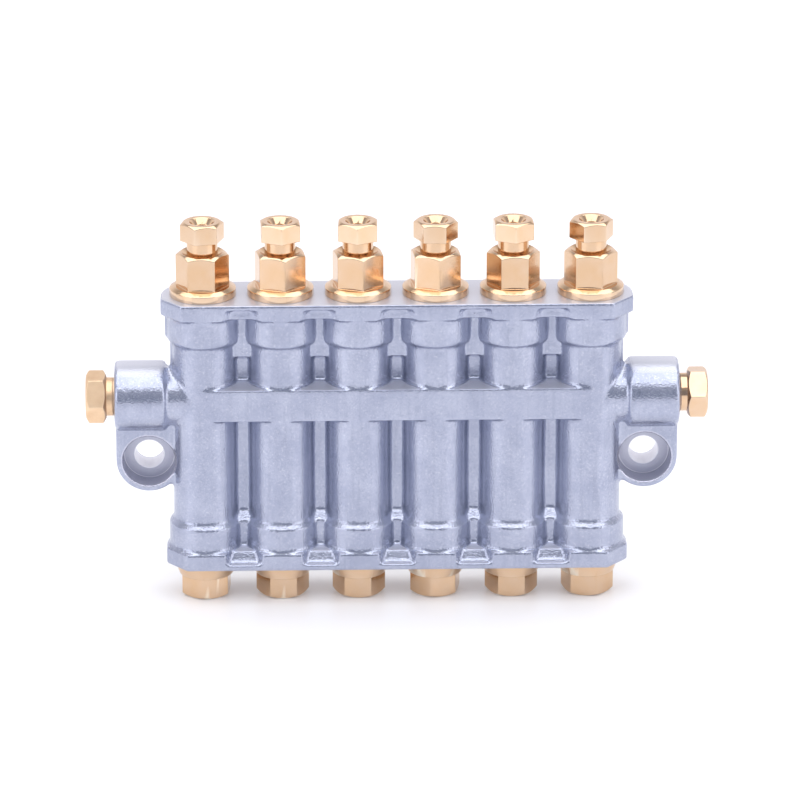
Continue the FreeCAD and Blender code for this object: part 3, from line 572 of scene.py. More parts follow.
@dataclass(frozen=True)
class Hexagon:
    """The section of a spanner hexagon with slightly rounded corners.

    Its corner angle is where one corner points, about the piece's own axis.
    """

    flats: float
    corner_angle: float
    rounding: float = 0.22 * MM

    SIDES = 6

    def reach(self, angle: float) -> float:
        """The distance from the axis to the surface.

        Args:
            angle: the direction about the axis, in radians.

        Returns:
            The distance in metres.
        """
        side = 2 * math.pi / self.SIDES
        off_corner = (angle - self.corner_angle + side / 2) % side - side / 2
        off_flat = side / 2 - abs(off_corner)
        if off_flat < self._straight():
            return self.flats / 2 / math.cos(off_flat)
        centre = (self.flats / 2 - self.rounding) / math.cos(side / 2)
        across = centre * math.sin(off_corner)
        return centre * math.cos(off_corner) + math.sqrt(max(self.rounding**2 - across**2, 0.0))

    def _straight(self) -> float:
        """How far each side of a flat's middle the flat is straight, as an angle."""
        half = self.flats / 2
        return math.atan((half - self.rounding) * math.tan(math.pi / self.SIDES) / half)

    def angles(self, steps: int = 8) -> list[float]:
        """Directions for a ring's points: close together at the corners, even along the flats.

        Args:
            steps: the number of steps along a flat.

        Returns:
            The angles in radians, all the way round.
        """
        side, straight = 2 * math.pi / self.SIDES, self._straight()
        corner = side / 2 - straight
        offsets = [-straight + 2 * straight * i / steps for i in range(steps + 1)]
        offsets += [straight + corner * share for share in (0.5, 1.0, 1.5)]
        start = self.corner_angle + side / 2
        return [start + side * k + offset for k in range(self.SIDES) for offset in offsets]


def even_angles(count: int) -> list[float]:
    """Evenly spread directions, all the way round."""
    return [2 * math.pi * i / count for i in range(count)]


MOST_OF_A_SIDE = 0.45


def soften(corners: Sequence[Corner], radius: float, closed: bool, steps: int = 3) -> list[Corner]:
    """Rounds an outline's corners a little.

    Args:
        corners: the outline's points.
        radius: how far the rounding reaches along each side.
        closed: True if the last point joins the first.
        steps: the number of points that stand for each corner.

    Returns:
        The points of the softened outline.
    """
    points: list[Corner] = []
    count = len(corners)
    for i, (x, y) in enumerate(corners):
        if not closed and i in (0, count - 1):
            points.append((x, y))
            continue
        ends = []
        for nx, ny in (corners[i - 1], corners[(i + 1) % count]):
            run = math.hypot(nx - x, ny - y)
            share = min(radius, MOST_OF_A_SIDE * run) / max(run, TINY)
            ends.append((x + (nx - x) * share, y + (ny - y) * share))
        (ax, ay), (bx, by) = ends
        for k in range(steps):
            t = k / (steps - 1)
            a, b, c = (1 - t) ** 2, 2 * t * (1 - t), t * t
            points.append((a * ax + b * x + c * bx, a * ay + b * y + c * by))
    return points


def lathe(
    name: str, outline: Outline, angles: Sequence[float], closed: bool = False, radius: float = 0.0
) -> bpy.types.Mesh:
    """A turned mesh whose outline may change with the direction, as a hexagon's does.

    Args:
        name: the mesh's name.
        outline: gives the (radius, height) corners for a direction.
        angles: the directions.
        closed: True for a ring of material, False for an outline that runs from axis to axis.
        radius: the rounding of the outline's corners.

    Returns:
        The mesh, about the Z axis.
    """
    columns = [soften(outline(angle), radius, closed) for angle in angles]
    rows = len(columns[0])
    made = bmesh.new()
    grid: list[list[bmesh.types.BMVert]] = []
    for row in range(rows):
        if not closed and row in (0, rows - 1):
            grid.append([made.verts.new((0.0, 0.0, columns[0][row][1]))] * len(angles))
            continue
        grid.append(
            [
                made.verts.new((column[row][0] * math.cos(a), column[row][0] * math.sin(a), column[row][1]))
                for column, a in zip(columns, angles)
            ]
        )
    for row in range(rows if closed else rows - 1):
        low, high = grid[row], grid[(row + 1) % rows]
        for i in range(len(angles)):
            j = (i + 1) % len(angles)
            ring = dict.fromkeys((low[i], low[j], high[j], high[i]))
            made.faces.new(tuple(ring))
    bmesh.ops.recalc_face_normals(made, faces=made.faces)
    mesh = bpy.data.meshes.new(name)
    made.to_mesh(mesh)
    made.free()
    return mesh


def place_piece(name: str, mesh: bpy.types.Mesh, where: Matrix = Matrix.Identity(4)) -> Piece:
    """Puts a mesh in the scene as a smooth object.

    Args:
        name: the object's name.
        mesh: its mesh.
        where: its place in the row frame.

    Returns:
        The object.
    """
    piece = bpy.data.objects.new(name, mesh)
    bpy.context.scene.collection.objects.link(piece)
    piece.matrix_world = where
    mesh.shade_smooth()
    return piece


LARGE_FACE_WEIGHT = 80


def crisp(piece: Piece, keep_sharp: bool = False) -> Piece:
    """Lets the large faces set the shading, so that flats stay flat beside their small roundings.

    Args:
        piece: the piece.
        keep_sharp: True where its marked edges stay sharp.

    Returns:
        The same piece.
    """
    weighted = piece.modifiers.new("flat_faces", "WEIGHTED_NORMAL")
    weighted.weight = LARGE_FACE_WEIGHT
    weighted.keep_sharp = keep_sharp
    return piece


def dress(piece: Piece, material: bpy.types.Material, slot: Slot, body: str, *nodes: str) -> Piece:
    """Gives a new piece its finish, its body and the nodes that it stands for.

    Args:
        piece: the piece.
        material: its finish.
        slot: the record's slot for that finish; not used.
        body: the body that it rides on.
        nodes: the nodes that it replaces.

    Returns:
        The same piece.
    """
    piece.data.materials.clear()
    piece.data.materials.append(material)
    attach(piece, body)
    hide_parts(*nodes)
    LOG.info("%s rides on %s: %d faces", piece.name, body, len(piece.data.polygons))
    return piece


def paint_node(node: str, material: bpy.types.Material) -> None:
    """Gives a carried node a better finish.

    Args:
        node: the node's name.
        material: its finish.
    """
    solid = frame["nodes"][node]
    solid.data.materials.clear()
    solid.data.materials.append(material)
    LOG.info("%s is painted %s", node, material.name)


def middle_of(node: str) -> Vector:
    """The middle of a node's box."""
    low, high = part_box(node)
    return (low + high) / 2


def upright_at(node: str) -> Matrix:
    """The place of an upright piece's axis."""
    middle = middle_of(node)
    return Matrix.Translation((middle.x, middle.y, 0.0))


FARTHER = 1e-6


def corner_angle_of(node: str, axis: int, low: float, high: float) -> float:
    """Where a hexagon's corners point, read from the frame's own solid.

    Args:
        node: the node with the hexagon.
        axis: the axis that it is turned about, 0 for X and 2 for Z.
        low: the start of the stretch that holds only the hexagon.
        high: its end.

    Returns:
        The angle about that axis, measured from +X for Z and from +Y for X.
    """
    middle = middle_of(node)
    first, second = ((1, 2) if axis == 0 else (0, 1))
    best, angle = 0.0, 0.0
    for vertex in frame["nodes"][node].data.vertices:
        if low <= vertex.co[axis] <= high:
            across, up = vertex.co[first] - middle[first], vertex.co[second] - middle[second]
            if math.hypot(across, up) > best + FARTHER:
                best, angle = math.hypot(across, up), math.atan2(up, across)
    return angle


BRASS_EDGE = 0.16 * MM
CHAMFER = math.tan(math.radians(30.0))
HEX_LAND = 0.92


def bevelled(hexagon: Hexagon, angle: float, end: float, inward: float) -> list[Corner]:
    """The two corners where a hexagon's end is turned to a cone.

    Args:
        hexagon: the section.
        angle: the direction.
        end: the height of the end face.
        inward: 1 if the material lies above the end and -1 if below.

    Returns:
        The corner on the hexagon's side, then the one on its end face.
    """
    reach, land = hexagon.reach(angle), hexagon.flats * HEX_LAND / 2
    return [(reach, end + inward * (reach - land) * CHAMFER), (land, end)]


THREAD_STEPS = 6
THREAD_DEPTH = 0.61


def screw_thread(angle: float, crest: float, start: float, end: float, pitch: float) -> list[Corner]:
    """A right-hand thread's corners in one direction, upwards, fading in and out at its ends.

    Args:
        angle: the direction.
        crest: the radius over the thread.
        start: the height where it starts.
        end: the height where it ends.
        pitch: its rise in one turn.

    Returns:
        The corners.
    """
    steps = round((end - start) / pitch * THREAD_STEPS)
    corners = []
    for i in range(steps + 1):
        height = start + (end - start) * i / steps
        turn = ((height - start) / pitch - angle / (2 * math.pi)) % 1.0
        fade = min(1.0, i / THREAD_STEPS, (steps - i) / THREAD_STEPS)
        corners.append((crest - fade * THREAD_DEPTH * pitch * abs(2 * turn - 1), height))
    return corners


def turn_fitting(
    node: str,
    outline: Outline,
    hexagon: Hexagon,
    where: Matrix,
    material: bpy.types.Material,
    closed: bool = False,
) -> Piece:
    """Turns a brass fitting and dresses it as its node.

    Args:
        node: the node that it replaces.
        outline: gives its section for a direction.
        hexagon: its hexagon.
        where: the place of its axis.
        material: its brass.
        closed: True where it has a hole right through.

    Returns:
        The fitting.
    """
    mesh = lathe(node, outline, hexagon.angles(), closed, BRASS_EDGE)
    piece = crisp(place_piece(f"brass_{node}", mesh, where))
    return dress(piece, material, Slot.FITTING_BRASS, BLOCK, node)


@dataclass
class Casting:
    """The die casting: its outside softened as cast, its bores cut true."""

    voxel: float = 0.34 * MM
    passes: int = 6
    hollow: float = 0.45 * MM
    triangles: int = 171_000
    sharp: float = 50.0
    plug_sides: int = 48
    cutter_sides: int = 72
    overlap: float = 0.05 * MM
    past: float = 1.0 * MM
    port: float = 7.05 * MM
    seal: float = 8.0 * MM
    seal_depth: float = 1.0 * MM
    chamber: float = 4.5 * MM
    chamber_end: float = 12.8 * MM
    passage: float = 3.3 * MM
    passage_end: float = 24.0 * MM
    core: float = 5.0 * MM
    core_end: float = 34.5 * MM
    bottom_port: float = 10.3 * MM
    gallery: float = 2.9 * MM
    inlet: float = 5.05 * MM
    inlet_depth: float = 11.0 * MM
    bolt: float = 3.8 * MM
    screw_seat: float = 6.75 * MM
    screw_seat_end: float = -7.3 * MM
    screw_lip: float = 0.4 * MM
    lug_front: float = -12.8 * MM
    gallery_level: float = 17.0 * MM

    def __post_init__(self) -> None:
        """Reads the casting's box and the places of its holes from the frame."""
        self.low, self.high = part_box("manifold")
        self.numbers = unit_numbers()
        self.lug_x = mounting_axis()

    def build(self, material: bpy.types.Material) -> Piece:
        """Makes and dresses the casting.

        Args:
            material: the cast finish.

        Returns:
            The casting.
        """
        skin = self._softened()
        for number, cutter in enumerate(self._cutters()):
            cut = skin.modifiers.new(f"bore_{number}", "BOOLEAN")
            cut.operation, cut.solver, cut.object = "DIFFERENCE", "MANIFOLD", cutter
        mesh = settled(skin)
        for cutter in [m.object for m in skin.modifiers]:
            bpy.data.objects.remove(cutter)
        bpy.data.objects.remove(skin)
        piece = crisp(place_piece("cast_manifold", mesh), keep_sharp=True)
        mesh.set_sharp_from_angle(angle=math.radians(self.sharp))
        return dress(piece, material, Slot.CASTING, BLOCK, "manifold")

    def _softened(self) -> Piece:
        """Remakes the casting's outside, with every bore filled, as one even skin and smooths it.

        Returns:
            The skin, within the casting's box.
        """
        joined = bmesh.new()
        for mesh in (frame["nodes"]["manifold"].data.copy(), *self._fillers()):
            joined.from_mesh(mesh)
            bpy.data.meshes.remove(mesh)
        mesh = bpy.data.meshes.new("casting_skin")
        joined.to_mesh(mesh)
        joined.free()
        skin = place_piece("casting_skin", mesh)
        for step, move in (("swollen", self.hollow), ("shrunk", -self.hollow)):
            remesh = skin.modifiers.new(f"even_skin_{step}", "REMESH")
            remesh.mode, remesh.voxel_size = "VOXEL", self.voxel
            shift = skin.modifiers.new(step, "DISPLACE")
            shift.strength, shift.mid_level = move, 0.0
        smooth = skin.modifiers.new("cast_softness", "SMOOTH")
        smooth.factor, smooth.iterations = 0.5, self.passes
        even = settled(skin)
        bpy.data.objects.remove(skin)
        skin = place_piece("casting_skin", even)
        fewer = skin.modifiers.new("fewer_faces", "DECIMATE")
        fewer.ratio = min(1.0, self.triangles / sum(len(face.vertices) - 2 for face in even.polygons))
        lighter = settled(skin)
        bpy.data.objects.remove(skin)
        places = np.empty((len(lighter.vertices), 3), dtype=np.float32)
        lighter.vertices.foreach_get("co", places.ravel())
        lighter.vertices.foreach_set("co", np.clip(places, self.low, self.high).ravel())
        return place_piece("casting_skin", lighter)

    def _along(self, side: int) -> Matrix:
        """The gallery's axis, running outwards to one end."""
        middle = Vector((0.0, middle_of("outlet_body_1").y, self.gallery_level))
        return Matrix.Translation(middle) @ Matrix.Rotation(side * math.pi / 2, 4, "Y")

    def _through(self, side: int) -> Matrix:
        """A mounting hole's axis, running into the machine."""
        return Matrix.Translation((side * self.lug_x, 0.0, 0.0)) @ Matrix.Rotation(-math.pi / 2, 4, "X")

    def _fillers(self) -> list[bpy.types.Mesh]:
        """Makes the cylinders that fill every bore flush with the faces that it opens in.

        Returns:
            Their meshes, in the row frame.
        """
        end, front, seat_end = self.high.x, self.lug_front, self.screw_seat_end
        fill = [(self.seal, self.low.z, self.high.z, upright_at(f"outlet_body_{n}")) for n in self.numbers]
        for side in (-1, 1):
            along, through = self._along(side), self._through(side)
            fill.append((self.gallery, 0.0, end, along))
            fill.append((self.inlet, end - self.inlet_depth - self.overlap, end, along))
            fill.append((self.bolt, front, 0.0, through))
            fill.append((self.screw_seat, front, seat_end + self.overlap, through))
        made = []
        for bore, low, high, where in fill:
            radius = bore + self.overlap
            outline = ((0.0, low), (radius, low), (radius, high), (0.0, high))
            mesh = lathe("filler", lambda _, outline=outline: outline, even_angles(self.plug_sides))
            mesh.transform(where)
            made.append(mesh)
        return made

    def _cutters(self) -> list[Piece]:
        """Turns the cutters for the tubes' bores, the gallery with its inlets, and the mounting holes.

        Returns:
            The cutters, in place.
        """
        low, high, past = self.low.z, self.high.z, self.past
        bore = (
            (0.0, low - past),
            (self.seal, low - past),
            (self.seal, low + self.seal_depth),
            (self.port, low + self.seal_depth),
            (self.port, low + self.bottom_port),
            (self.chamber, low + self.bottom_port),
            (self.chamber, self.chamber_end),
            (self.passage, self.chamber_end),
            (self.passage, self.passage_end),
            (self.core, self.passage_end),
            (self.core, self.core_end),
            (self.port, self.core_end),
            (self.port, high - self.seal_depth),
            (self.seal, high - self.seal_depth),
            (self.seal, high + past),
            (0.0, high + past),
        )
        end = self.high.x
        supply = (
            (0.0, -end - past),
            (self.inlet, -end - past),
            (self.inlet, -end + self.inlet_depth),
            (self.gallery, -end + self.inlet_depth),
            (self.gallery, end - self.inlet_depth),
            (self.inlet, end - self.inlet_depth),
            (self.inlet, end + past),
            (0.0, end + past),
        )
        screw = (
            (0.0, self.lug_front - past),
            (self.screw_seat + self.screw_lip + past, self.lug_front - past),
            (self.screw_seat, self.lug_front + self.screw_lip),
            (self.screw_seat, self.screw_seat_end),
            (self.bolt, self.screw_seat_end),
            (self.bolt, past),
            (0.0, past),
        )
        plan = [(bore, upright_at(f"outlet_body_{n}")) for n in self.numbers] + [(supply, self._along(1))]
        plan += [(screw, self._through(side)) for side in (-1, 1)]
        made = []
        for number, (outline, where) in enumerate(plan):
            mesh = lathe("cutter", lambda _, outline=outline: outline, even_angles(self.cutter_sides))
            made.append(place_piece(f"cutter_{number}", mesh, where))
        return made


def settled(piece: Piece) -> bpy.types.Mesh:
    """The piece's mesh with its modifiers applied."""
    bpy.context.view_layer.update()
    graph = bpy.context.evaluated_depsgraph_get()
    return bpy.data.meshes.new_from_object(piece.evaluated_get(graph), depsgraph=graph)


def mounting_axis() -> float:
    """The distance of the mounting holes' axes from the middle, from the record."""
    holes = next(mount for mount in frame["record"]["mounts"] if mount["name"] == "mounting_holes")
    return holes["dims"]["spacing_x_mm"] * MM / 2


def unit_numbers() -> range:
    """The numbers of the metering units, from the frame's own nodes."""
    return range(1, 1 + sum(node.startswith("outlet_body_") for node in frame["nodes"]))


@dataclass
class OutletFitting:
    """One outlet: the brass body in the top plate and the tube nut in it. Heights are in the row frame."""

    number: int
    flats: float = 12.0 * MM
    nut_flats: float = 10.0 * MM
    thread: float = 7.0 * MM
    flange_rim: float = 1.9 * MM
    flange_height: float = 2.6 * MM
    flange_shoulder: float = 7.3 * MM
    union: float = 4.05 * MM
    union_depth: float = 6.1 * MM
    mouth: float = 1.3 * MM
    seat: float = 3.15 * MM
    seat_height: float = 1.6 * MM
    socket: float = 2.05 * MM
    socket_depth: float = 2.3 * MM
    outlet: float = 1.3 * MM
    outlet_length: float = 2.5 * MM
    valve_room: float = 2.4 * MM
    shank: float = 4.0 * MM
    nut_head: float = 4.9 * MM
    tube_hole: float = 2.25 * MM
    sink: float = 3.3 * MM
    sink_depth: float = 1.7 * MM
    grip: float = 3.1 * MM
    grip_height: float = 1.24 * MM
    pitch: float = 1.5 * MM
    nut_pitch: float = 1.0 * MM

    def __post_init__(self) -> None:
        """Reads the two pieces' boxes and how far their hexagons are turned."""
        self.body, self.nut = f"outlet_body_{self.number}", f"tube_nut_{self.number}"
        self.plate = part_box("manifold")[1].z
        self.low, self.high = (corner.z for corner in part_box(self.body))
        self.nut_low, self.nut_high = (corner.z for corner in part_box(self.nut))
        self.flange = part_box(self.body)[1].x - middle_of(self.body).x
        self.where = upright_at(self.body)
        above_flange = self.plate + self.flange_height + BRASS_EDGE
        self.body_hex = Hexagon(self.flats, corner_angle_of(self.body, 2, above_flange, self.high))
        self.nut_hex = Hexagon(self.nut_flats, corner_angle_of(self.nut, 2, self.high, self.nut_high))

    def build(self, material: bpy.types.Material) -> tuple[Piece, Piece]:
        """Makes and dresses both pieces.

        Args:
            material: the fittings' brass.

        Returns:
            The outlet body and the tube nut.
        """
        body = turn_fitting(self.body, self._body_outline, self.body_hex, self.where, material, closed=True)
        nut = turn_fitting(self.nut, self._nut_outline, self.nut_hex, self.where, material, closed=True)
        return body, nut

    def _body_outline(self, angle: float) -> list[Corner]:
        """The outlet body's section, anticlockwise from the check valve's room.

        Args:
            angle: the direction.

        Returns:
            The corners.
        """
        floor = self.high - self.union_depth
        cone_end = floor - self.seat_height
        socket_end = cone_end - self.socket_depth
        room_top = socket_end - self.outlet_length
        shoulder = self.plate + self.flange_height
        return [
            (self.valve_room, self.low),
            (self.thread, self.low),
            *screw_thread(angle, self.thread, self.low + self.pitch / 4, self.plate - self.pitch, self.pitch),
            (self.thread, self.plate),
            (self.flange, self.plate),
            (self.flange, self.plate + self.flange_rim),
            (self.flange_shoulder, shoulder),
            (self.body_hex.reach(angle), shoulder),
            *bevelled(self.body_hex, angle, self.high, -1.0),
            (self.union + self.mouth, self.high),
            (self.union, self.high - self.mouth),
            (self.union, floor),
            (self.seat, floor),
            (self.socket, cone_end),
            (self.socket, socket_end),
            (self.outlet, socket_end),
            (self.outlet, room_top),
            (self.valve_room, room_top),
        ]

    def _nut_outline(self, angle: float) -> list[Corner]:
        """The tube nut's section, anticlockwise from the mouth that grips the ferrule.

        Args:
            angle: the direction.

        Returns:
            The corners.
        """
        base, pitch = self.nut_high - self.nut_head, self.nut_pitch
        return [
            (self.grip, self.nut_low),
            (self.shank, self.nut_low),
            *screw_thread(angle, self.shank, self.nut_low + self.grip_height, self.high - pitch, pitch),
            (self.shank, base),
            (self.nut_hex.reach(angle), base),
            *bevelled(self.nut_hex, angle, self.nut_high, -1.0),
            (self.sink, self.nut_high),
            (self.tube_hole, self.nut_high - self.sink_depth),
            (self.tube_hole, self.nut_low + self.grip_height),
        ]


@dataclass
class BottomPlug:
    """A brass plug under a tube. Heights are in the row frame."""

    number: int
    flats: float = 12.0 * MM
    thread: float = 7.0 * MM
    thread_length: float = 10.2 * MM
    nose: float = 4.3 * MM
    spring_bore: float = 3.5 * MM
    spring_seat: float = 4.0 * MM
    rim: float = 0.6 * MM
    taper: float = 3.6 * MM
    neck: float = 7.1 * MM
    pitch: float = 1.5 * MM

    def __post_init__(self) -> None:
        """Reads the plug's box and how far its hexagon is turned."""
        self.node = f"bottom_plug_{self.number}"
        self.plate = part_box("manifold")[0].z
        self.low, self.high = (corner.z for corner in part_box(self.node))
        self.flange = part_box(self.node)[1].x - middle_of(self.node).x
        self.where = upright_at(self.node)
        below_flange = self.plate - self.taper - BRASS_EDGE
        self.hexagon = Hexagon(self.flats, corner_angle_of(self.node, 2, self.low, below_flange))

    def build(self, material: bpy.types.Material) -> Piece:
        """Makes and dresses the plug.

        Args:
            material: the fittings' brass.

        Returns:
            The plug.
        """
        return turn_fitting(self.node, self._outline, self.hexagon, self.where, material)

    def _outline(self, angle: float) -> list[Corner]:
        """The plug's section, from the middle of its hexagon's end to the floor of its spring bore.

        Args:
            angle: the direction.

        Returns:
            The corners.
        """
        shoulder = self.plate + self.thread_length
        taper_end = self.plate - self.taper
        return [
            (0.0, self.low),
            *reversed(bevelled(self.hexagon, angle, self.low, 1.0)),
            (self.hexagon.reach(angle), taper_end),
            (self.neck, taper_end),
            (self.flange, self.plate - self.rim),
            (self.flange, self.plate),
            (self.thread, self.plate),
            *screw_thread(angle, self.thread, self.plate + self.pitch, shoulder - self.pitch / 4, self.pitch),
            (self.thread, shoulder),
            (self.nose, shoulder),
            (self.nose, self.high),
            (self.spring_bore, self.high),
            (self.spring_bore, shoulder - self.spring_seat),
            (0.0, shoulder - self.spring_seat),
        ]


class End(Enum):
    """The two ends of the supply gallery, with the side that each lies on."""

    LEFT = -1
    RIGHT = 1


@dataclass
class InletPlug:
    """A brass plug in one end of the supply gallery. It is made upright, with its own z outwards."""

    end: End
    flats: float = 12.0 * MM
    thread: float = 5.0 * MM
    head: float = 5.3 * MM
    pitch: float = 1.0 * MM
    thread_length: float = 9.0 * MM

    def __post_init__(self) -> None:
        """Reads the plug's box and how far its hexagon is turned."""
        self.node = f"inlet_plug_{self.end.name.lower()}"
        middle, side = middle_of(self.node), self.end.value
        low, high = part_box(self.node)
        self.length = high.x - low.x
        tip = high.x if side > 0 else low.x
        axis = middle_of("outlet_body_1")
        level = Casting.gallery_level
        self.where = Matrix.Translation((tip, axis.y, level)) @ Matrix.Rotation(side * math.pi / 2, 4, "Y")
        near, far = sorted((tip, tip - side * self.head))
        turned = corner_angle_of(self.node, 0, near, far)
        outward = self.where.to_3x3().inverted() @ Vector((0.0, math.cos(turned), math.sin(turned)))
        self.hexagon = Hexagon(self.flats, math.atan2(outward.y, outward.x))

    def build(self, material: bpy.types.Material) -> Piece:
        """Makes and dresses the plug.

        Args:
            material: the fittings' brass.

        Returns:
            The plug.
        """
        return turn_fitting(self.node, self._outline, self.hexagon, self.where, material)

    def _outline(self, angle: float) -> list[Corner]:
        """The plug's section, from the middle of its inner end to its outer face at 0.

        Args:
            angle: the direction.

        Returns:
            The corners.
        """
        start = self.pitch / 2 - self.length
        return [
            (0.0, -self.length),
            (self.thread, -self.length),
            *screw_thread(angle, self.thread, start, start + self.thread_length, self.pitch),
            (self.thread, -self.head),
            *reversed(bevelled(self.hexagon, angle, -self.head, 1.0)),
            *bevelled(self.hexagon, angle, 0.0, -1.0),
            (0.0, 0.0),
        ]


@dataclass
class CoilSpring:
    """A compression spring of round wire with closed ends."""

    node: str
    joint: str
    travel: float
    turns: float
    fixed_top: bool
    wire_share: float
    steps: int = 20
    sides: int = 8
    end_closing: float = 0.35

    def build(self, material: bpy.types.Material) -> Piece:
        """Makes and dresses the spring.

        Args:
            material: the spring's steel.

        Returns:
            The spring.
        """
        low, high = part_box(self.node)
        middle = (low + high) / 2
        wire = self.wire_share * (high.x - middle.x)
        coil, rise = high.x - middle.x - wire, high.z - low.z - 2 * wire
        made = bmesh.new()
        rings = []
        total = int(self.turns * self.steps)
        for i in range(total + 1):
            share = i / total
            angle = 2 * math.pi * self.turns * share
            closed = share * share * (3 - 2 * share)
            height = low.z + wire + rise * (share + self.end_closing * (closed - share))
            across = Vector((math.cos(angle), math.sin(angle), 0.0))
            centre = Vector((middle.x, middle.y, height)) + across * coil
            rings.append(
                [
                    made.verts.new(centre + wire * (across * math.cos(b) + Vector((0, 0, math.sin(b)))))
                    for b in even_angles(self.sides)
                ]
            )
        for first, second in zip(rings, rings[1:]):
            for i in range(self.sides):
                j = (i + 1) % self.sides
                made.faces.new((first[i], first[j], second[j], second[i]))
        made.faces.new(rings[0])
        made.faces.new(reversed(rings[-1]))
        bmesh.ops.recalc_face_normals(made, faces=made.faces)
        mesh = bpy.data.meshes.new(self.node)
        made.to_mesh(mesh)
        made.free()
        piece = place_piece(f"coil_{self.node}", mesh)
        dress(piece, material, Slot.SPRING_STEEL, BLOCK, self.node)
        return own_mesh(piece)


@dataclass
class MeteringUnit:
    """What one tube holds: core, check ball, umbrella valve, piston and the two springs."""

    number: int
    finishes: dict[Slot, bpy.types.Material] = field(repr=False)
    piston_turns: float = 7.0
    piston_wire: float = 0.121
    check_turns: float = 4.0
    check_wire: float = 0.105

    def build(self) -> None:
        """Dresses the unit's own nodes and makes its springs."""
        n = self.number
        paint_node(f"valve_core_{n}", self.finishes[Slot.CORE_BRASS])
        paint_node(f"check_ball_{n}", self.finishes[Slot.GROUND_STEEL])
        paint_node(f"metering_piston_{n}", self.finishes[Slot.GROUND_STEEL])
        paint_node(f"umbrella_valve_{n}", self.finishes[Slot.VALVE_RUBBER])
        ranges = {joint["name"]: joint["range_m"][1] for joint in frame["joints"]}
        for node, joint, turns, fixed_top, wire in (
            (f"piston_spring_{n}", f"piston_slide_{n}", self.piston_turns, False, self.piston_wire),
            (f"check_spring_{n}", f"ball_lift_{n}", self.check_turns, True, self.check_wire),
        ):
            spring = CoilSpring(node, joint, ranges[joint], turns, fixed_top, wire)
            spring.build(self.finishes[Slot.SPRING_STEEL])


@dataclass(frozen=True)
class Softbox:
    """A rectangular lamp that faces the object: its centre, width and height, power in watts and colour."""

    name: str
    place: tuple[float, float, float]
    size: Corner
    power: float
    colour: Colour

    def build(self, target: Vector) -> None:
        """Hangs the lamp, turned to the object.

        Args:
            target: the point that it faces.
        """
        lamp = bpy.data.lights.new(self.name, "AREA")
        lamp.shape = "RECTANGLE"
        lamp.size, lamp.size_y = self.size
        lamp.energy, lamp.color = self.power, self.colour
        box = bpy.data.objects.new(self.name, lamp)
        bpy.context.scene.collection.objects.link(box)
        box.location = self.place
        box.rotation_euler = (target - Vector(self.place)).to_track_quat("-Z", "Y").to_euler()


SOFTBOXES = (
    Softbox("overhead_softbox", (0.0, -0.12, 0.95), (2.0, 1.5), 17.5, (1.0, 1.0, 1.0)),
    Softbox("left_softbox", (-1.00, -0.65, 0.33), (0.75, 0.6), 2.6, (1.0, 0.97, 0.97)),
    Softbox("right_softbox", (1.00, -0.65, 0.33), (0.75, 0.6), 2.6, (1.0, 0.96, 0.94)),
)


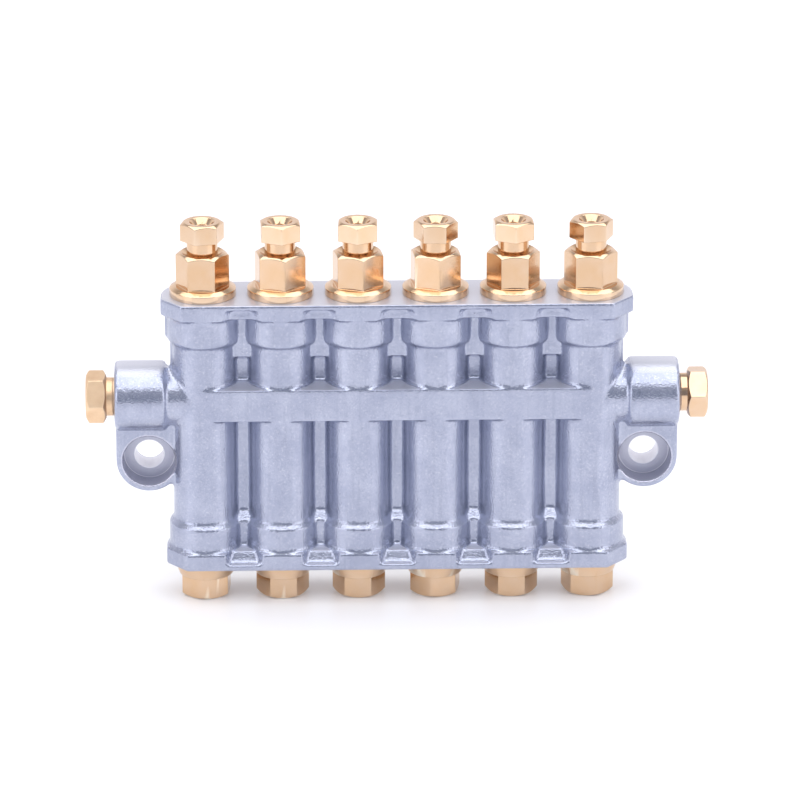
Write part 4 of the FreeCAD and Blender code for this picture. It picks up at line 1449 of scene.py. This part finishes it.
@dataclass
class Studio:
    """A pale floor, a large soft box overhead, two soft side lights and the camera of the photograph."""

    elevation: float = 20.5
    azimuth: float = -1.4
    distance: float = 1.4
    target: tuple[float, float, float] = (0.83 * MM, -10.0 * MM, 15.34 * MM)
    focal_pixels: float = 5390.0
    picture_pixels: float = 800.0
    floor_size: float = 14.0
    floor_colour: Colour = (0.80, 0.80, 0.82)
    floor_roughness: float = 0.35
    floor_glow: float = 0.12
    room_front: Colour = (0.25, 0.28, 0.36)
    room_back: Colour = (1.05, 1.03, 1.08)
    room_top: Colour = (0.45, 0.45, 0.48)
    front_to_back: Corner = (-0.35, 0.45)
    side_to_top: Corner = (0.35, 0.65)

    def build(self) -> None:
        """Sets up everything that isn't part of the object."""
        self._floor()
        self._world()
        for softbox in SOFTBOXES:
            softbox.build(Vector(self.target))
        self._camera()
        bpy.context.scene.view_settings.view_transform = "Standard"

    def _floor(self) -> None:
        """A satin pale floor under the lowest point of the object."""
        half, level = self.floor_size / 2, CAD_BOX[0].z
        mesh = bpy.data.meshes.new("floor")
        corners = [(-half, -half, level), (half, -half, level), (half, half, level), (-half, half, level)]
        mesh.from_pydata(corners, [], [(0, 1, 2, 3)])
        floor = bpy.data.objects.new("floor", mesh)
        bpy.context.scene.collection.objects.link(floor)
        satin = Graph("satin_floor").finish(
            Base_Color=(*self.floor_colour, 1.0),
            Roughness=self.floor_roughness,
            Emission_Color=(1.0, 1.0, 1.0, 1.0),
            Emission_Strength=self.floor_glow,
        )
        mesh.materials.append(satin)

    def _world(self) -> None:
        """Soft light from the room: dim in front of the object, and paler behind it and overhead."""
        world = bpy.data.worlds.new("room")
        bpy.context.scene.world = world
        world.use_nodes = True
        tree = world.node_tree
        background = next(n for n in tree.nodes if n.type == "BACKGROUND")
        place = tree.nodes.new("ShaderNodeTexCoord")
        split = tree.nodes.new("ShaderNodeSeparateXYZ")
        tree.links.new(place.outputs["Generated"], split.inputs["Vector"])
        tone = self.room_front
        for axis, (low, high), far in (
            ("Y", self.front_to_back, self.room_back),
            ("Z", self.side_to_top, self.room_top),
        ):
            share = tree.nodes.new("ShaderNodeMapRange")
            share.inputs["From Min"].default_value = low
            share.inputs["From Max"].default_value = high
            tree.links.new(split.outputs[axis], share.inputs["Value"])
            mix = tree.nodes.new("ShaderNodeMix")
            mix.data_type = "RGBA"
            tree.links.new(share.outputs["Result"], mix.inputs[0])
            if isinstance(tone, Socket):
                tree.links.new(tone, mix.inputs[6])
            else:
                mix.inputs[6].default_value = (*tone, 1.0)
            mix.inputs[7].default_value = (*far, 1.0)
            tone = mix.outputs[2]
        tree.links.new(tone, background.inputs["Color"])

    def _camera(self) -> None:
        """The camera at the photograph's viewing angle."""
        azimuth, elevation = math.radians(self.azimuth), math.radians(self.elevation)
        level = math.cos(elevation)
        away = Vector((math.sin(azimuth) * level, -math.cos(azimuth) * level, math.sin(elevation)))
        lens = bpy.data.cameras.new("camera")
        lens.sensor_width = 36.0
        lens.lens = self.focal_pixels / self.picture_pixels * lens.sensor_width
        camera = bpy.data.objects.new("camera", lens)
        bpy.context.scene.collection.objects.link(camera)
        camera.location = Vector(self.target) + away * self.distance
        camera.rotation_euler = (-away).to_track_quat("-Z", "Y").to_euler()
        bpy.context.scene.camera = camera


def make_finishes() -> dict[Slot, bpy.types.Material]:
    """Makes one finished material for each slot of the record.

    Returns:
        The materials by slot.
    """
    return {
        Slot.CASTING: CastAlloy(mounting_axis()).build(),
        Slot.FITTING_BRASS: Brass("polished_brass").build(),
        Slot.CORE_BRASS: Brass("turned_brass", smooth=0.2, rough=0.34).build(),
        Slot.GROUND_STEEL: Steel("ground_steel").build(),
        Slot.SPRING_STEEL: Steel("spring_wire", tone=(0.45, 0.45, 0.47), dark=(0.30, 0.30, 0.32)).build(),
        Slot.VALVE_RUBBER: Rubber("moulded_rubber").build(),
        Slot.SEAL_RUBBER: Rubber("seal_rubber", tone=(0.03, 0.03, 0.032)).build(),
    }


def inlet_finish(end: End, finishes: dict[Slot, bpy.types.Material]) -> bpy.types.Material:
    """The brass of an inlet plug. The left one is duller, with coarse milling marks, and its colour is painted
    lighter to stand in for the light those marks catch.

    Args:
        end: which plug it is.
        finishes: the record's finishes.

    Returns:
        The plug's finish.
    """
    if end is End.RIGHT:
        return finishes[Slot.FITTING_BRASS]
    marks = replace(Brass.lines, depth=0.05 * MM)
    # painted light: the colour is lighter than the other brass, standing in for light that the milling marks catch
    return Brass("milled_brass_painted_lighter", bright=(0.88, 0.64, 0.42), smooth=0.40, rough=0.52, lines=marks).build()


def main() -> None:
    """Builds the casting, then the fittings, the parts inside and the studio."""
    logging.basicConfig(level=logging.INFO, format="%(name)s: %(message)s")
    finishes = make_finishes()
    Casting().build(finishes[Slot.CASTING])
    for number in unit_numbers():
        OutletFitting(number).build(finishes[Slot.FITTING_BRASS])
        BottomPlug(number).build(finishes[Slot.FITTING_BRASS])
        MeteringUnit(number, finishes).build()
    for end in End:
        InletPlug(end).build(inlet_finish(end, finishes))
    paint_node("ferrules", finishes[Slot.CORE_BRASS])
    for rings in ("core_rings", "thread_seals"):
        paint_node(rings, finishes[Slot.SEAL_RUBBER])
    Studio().build()


if __name__ == "__main__":
    main()
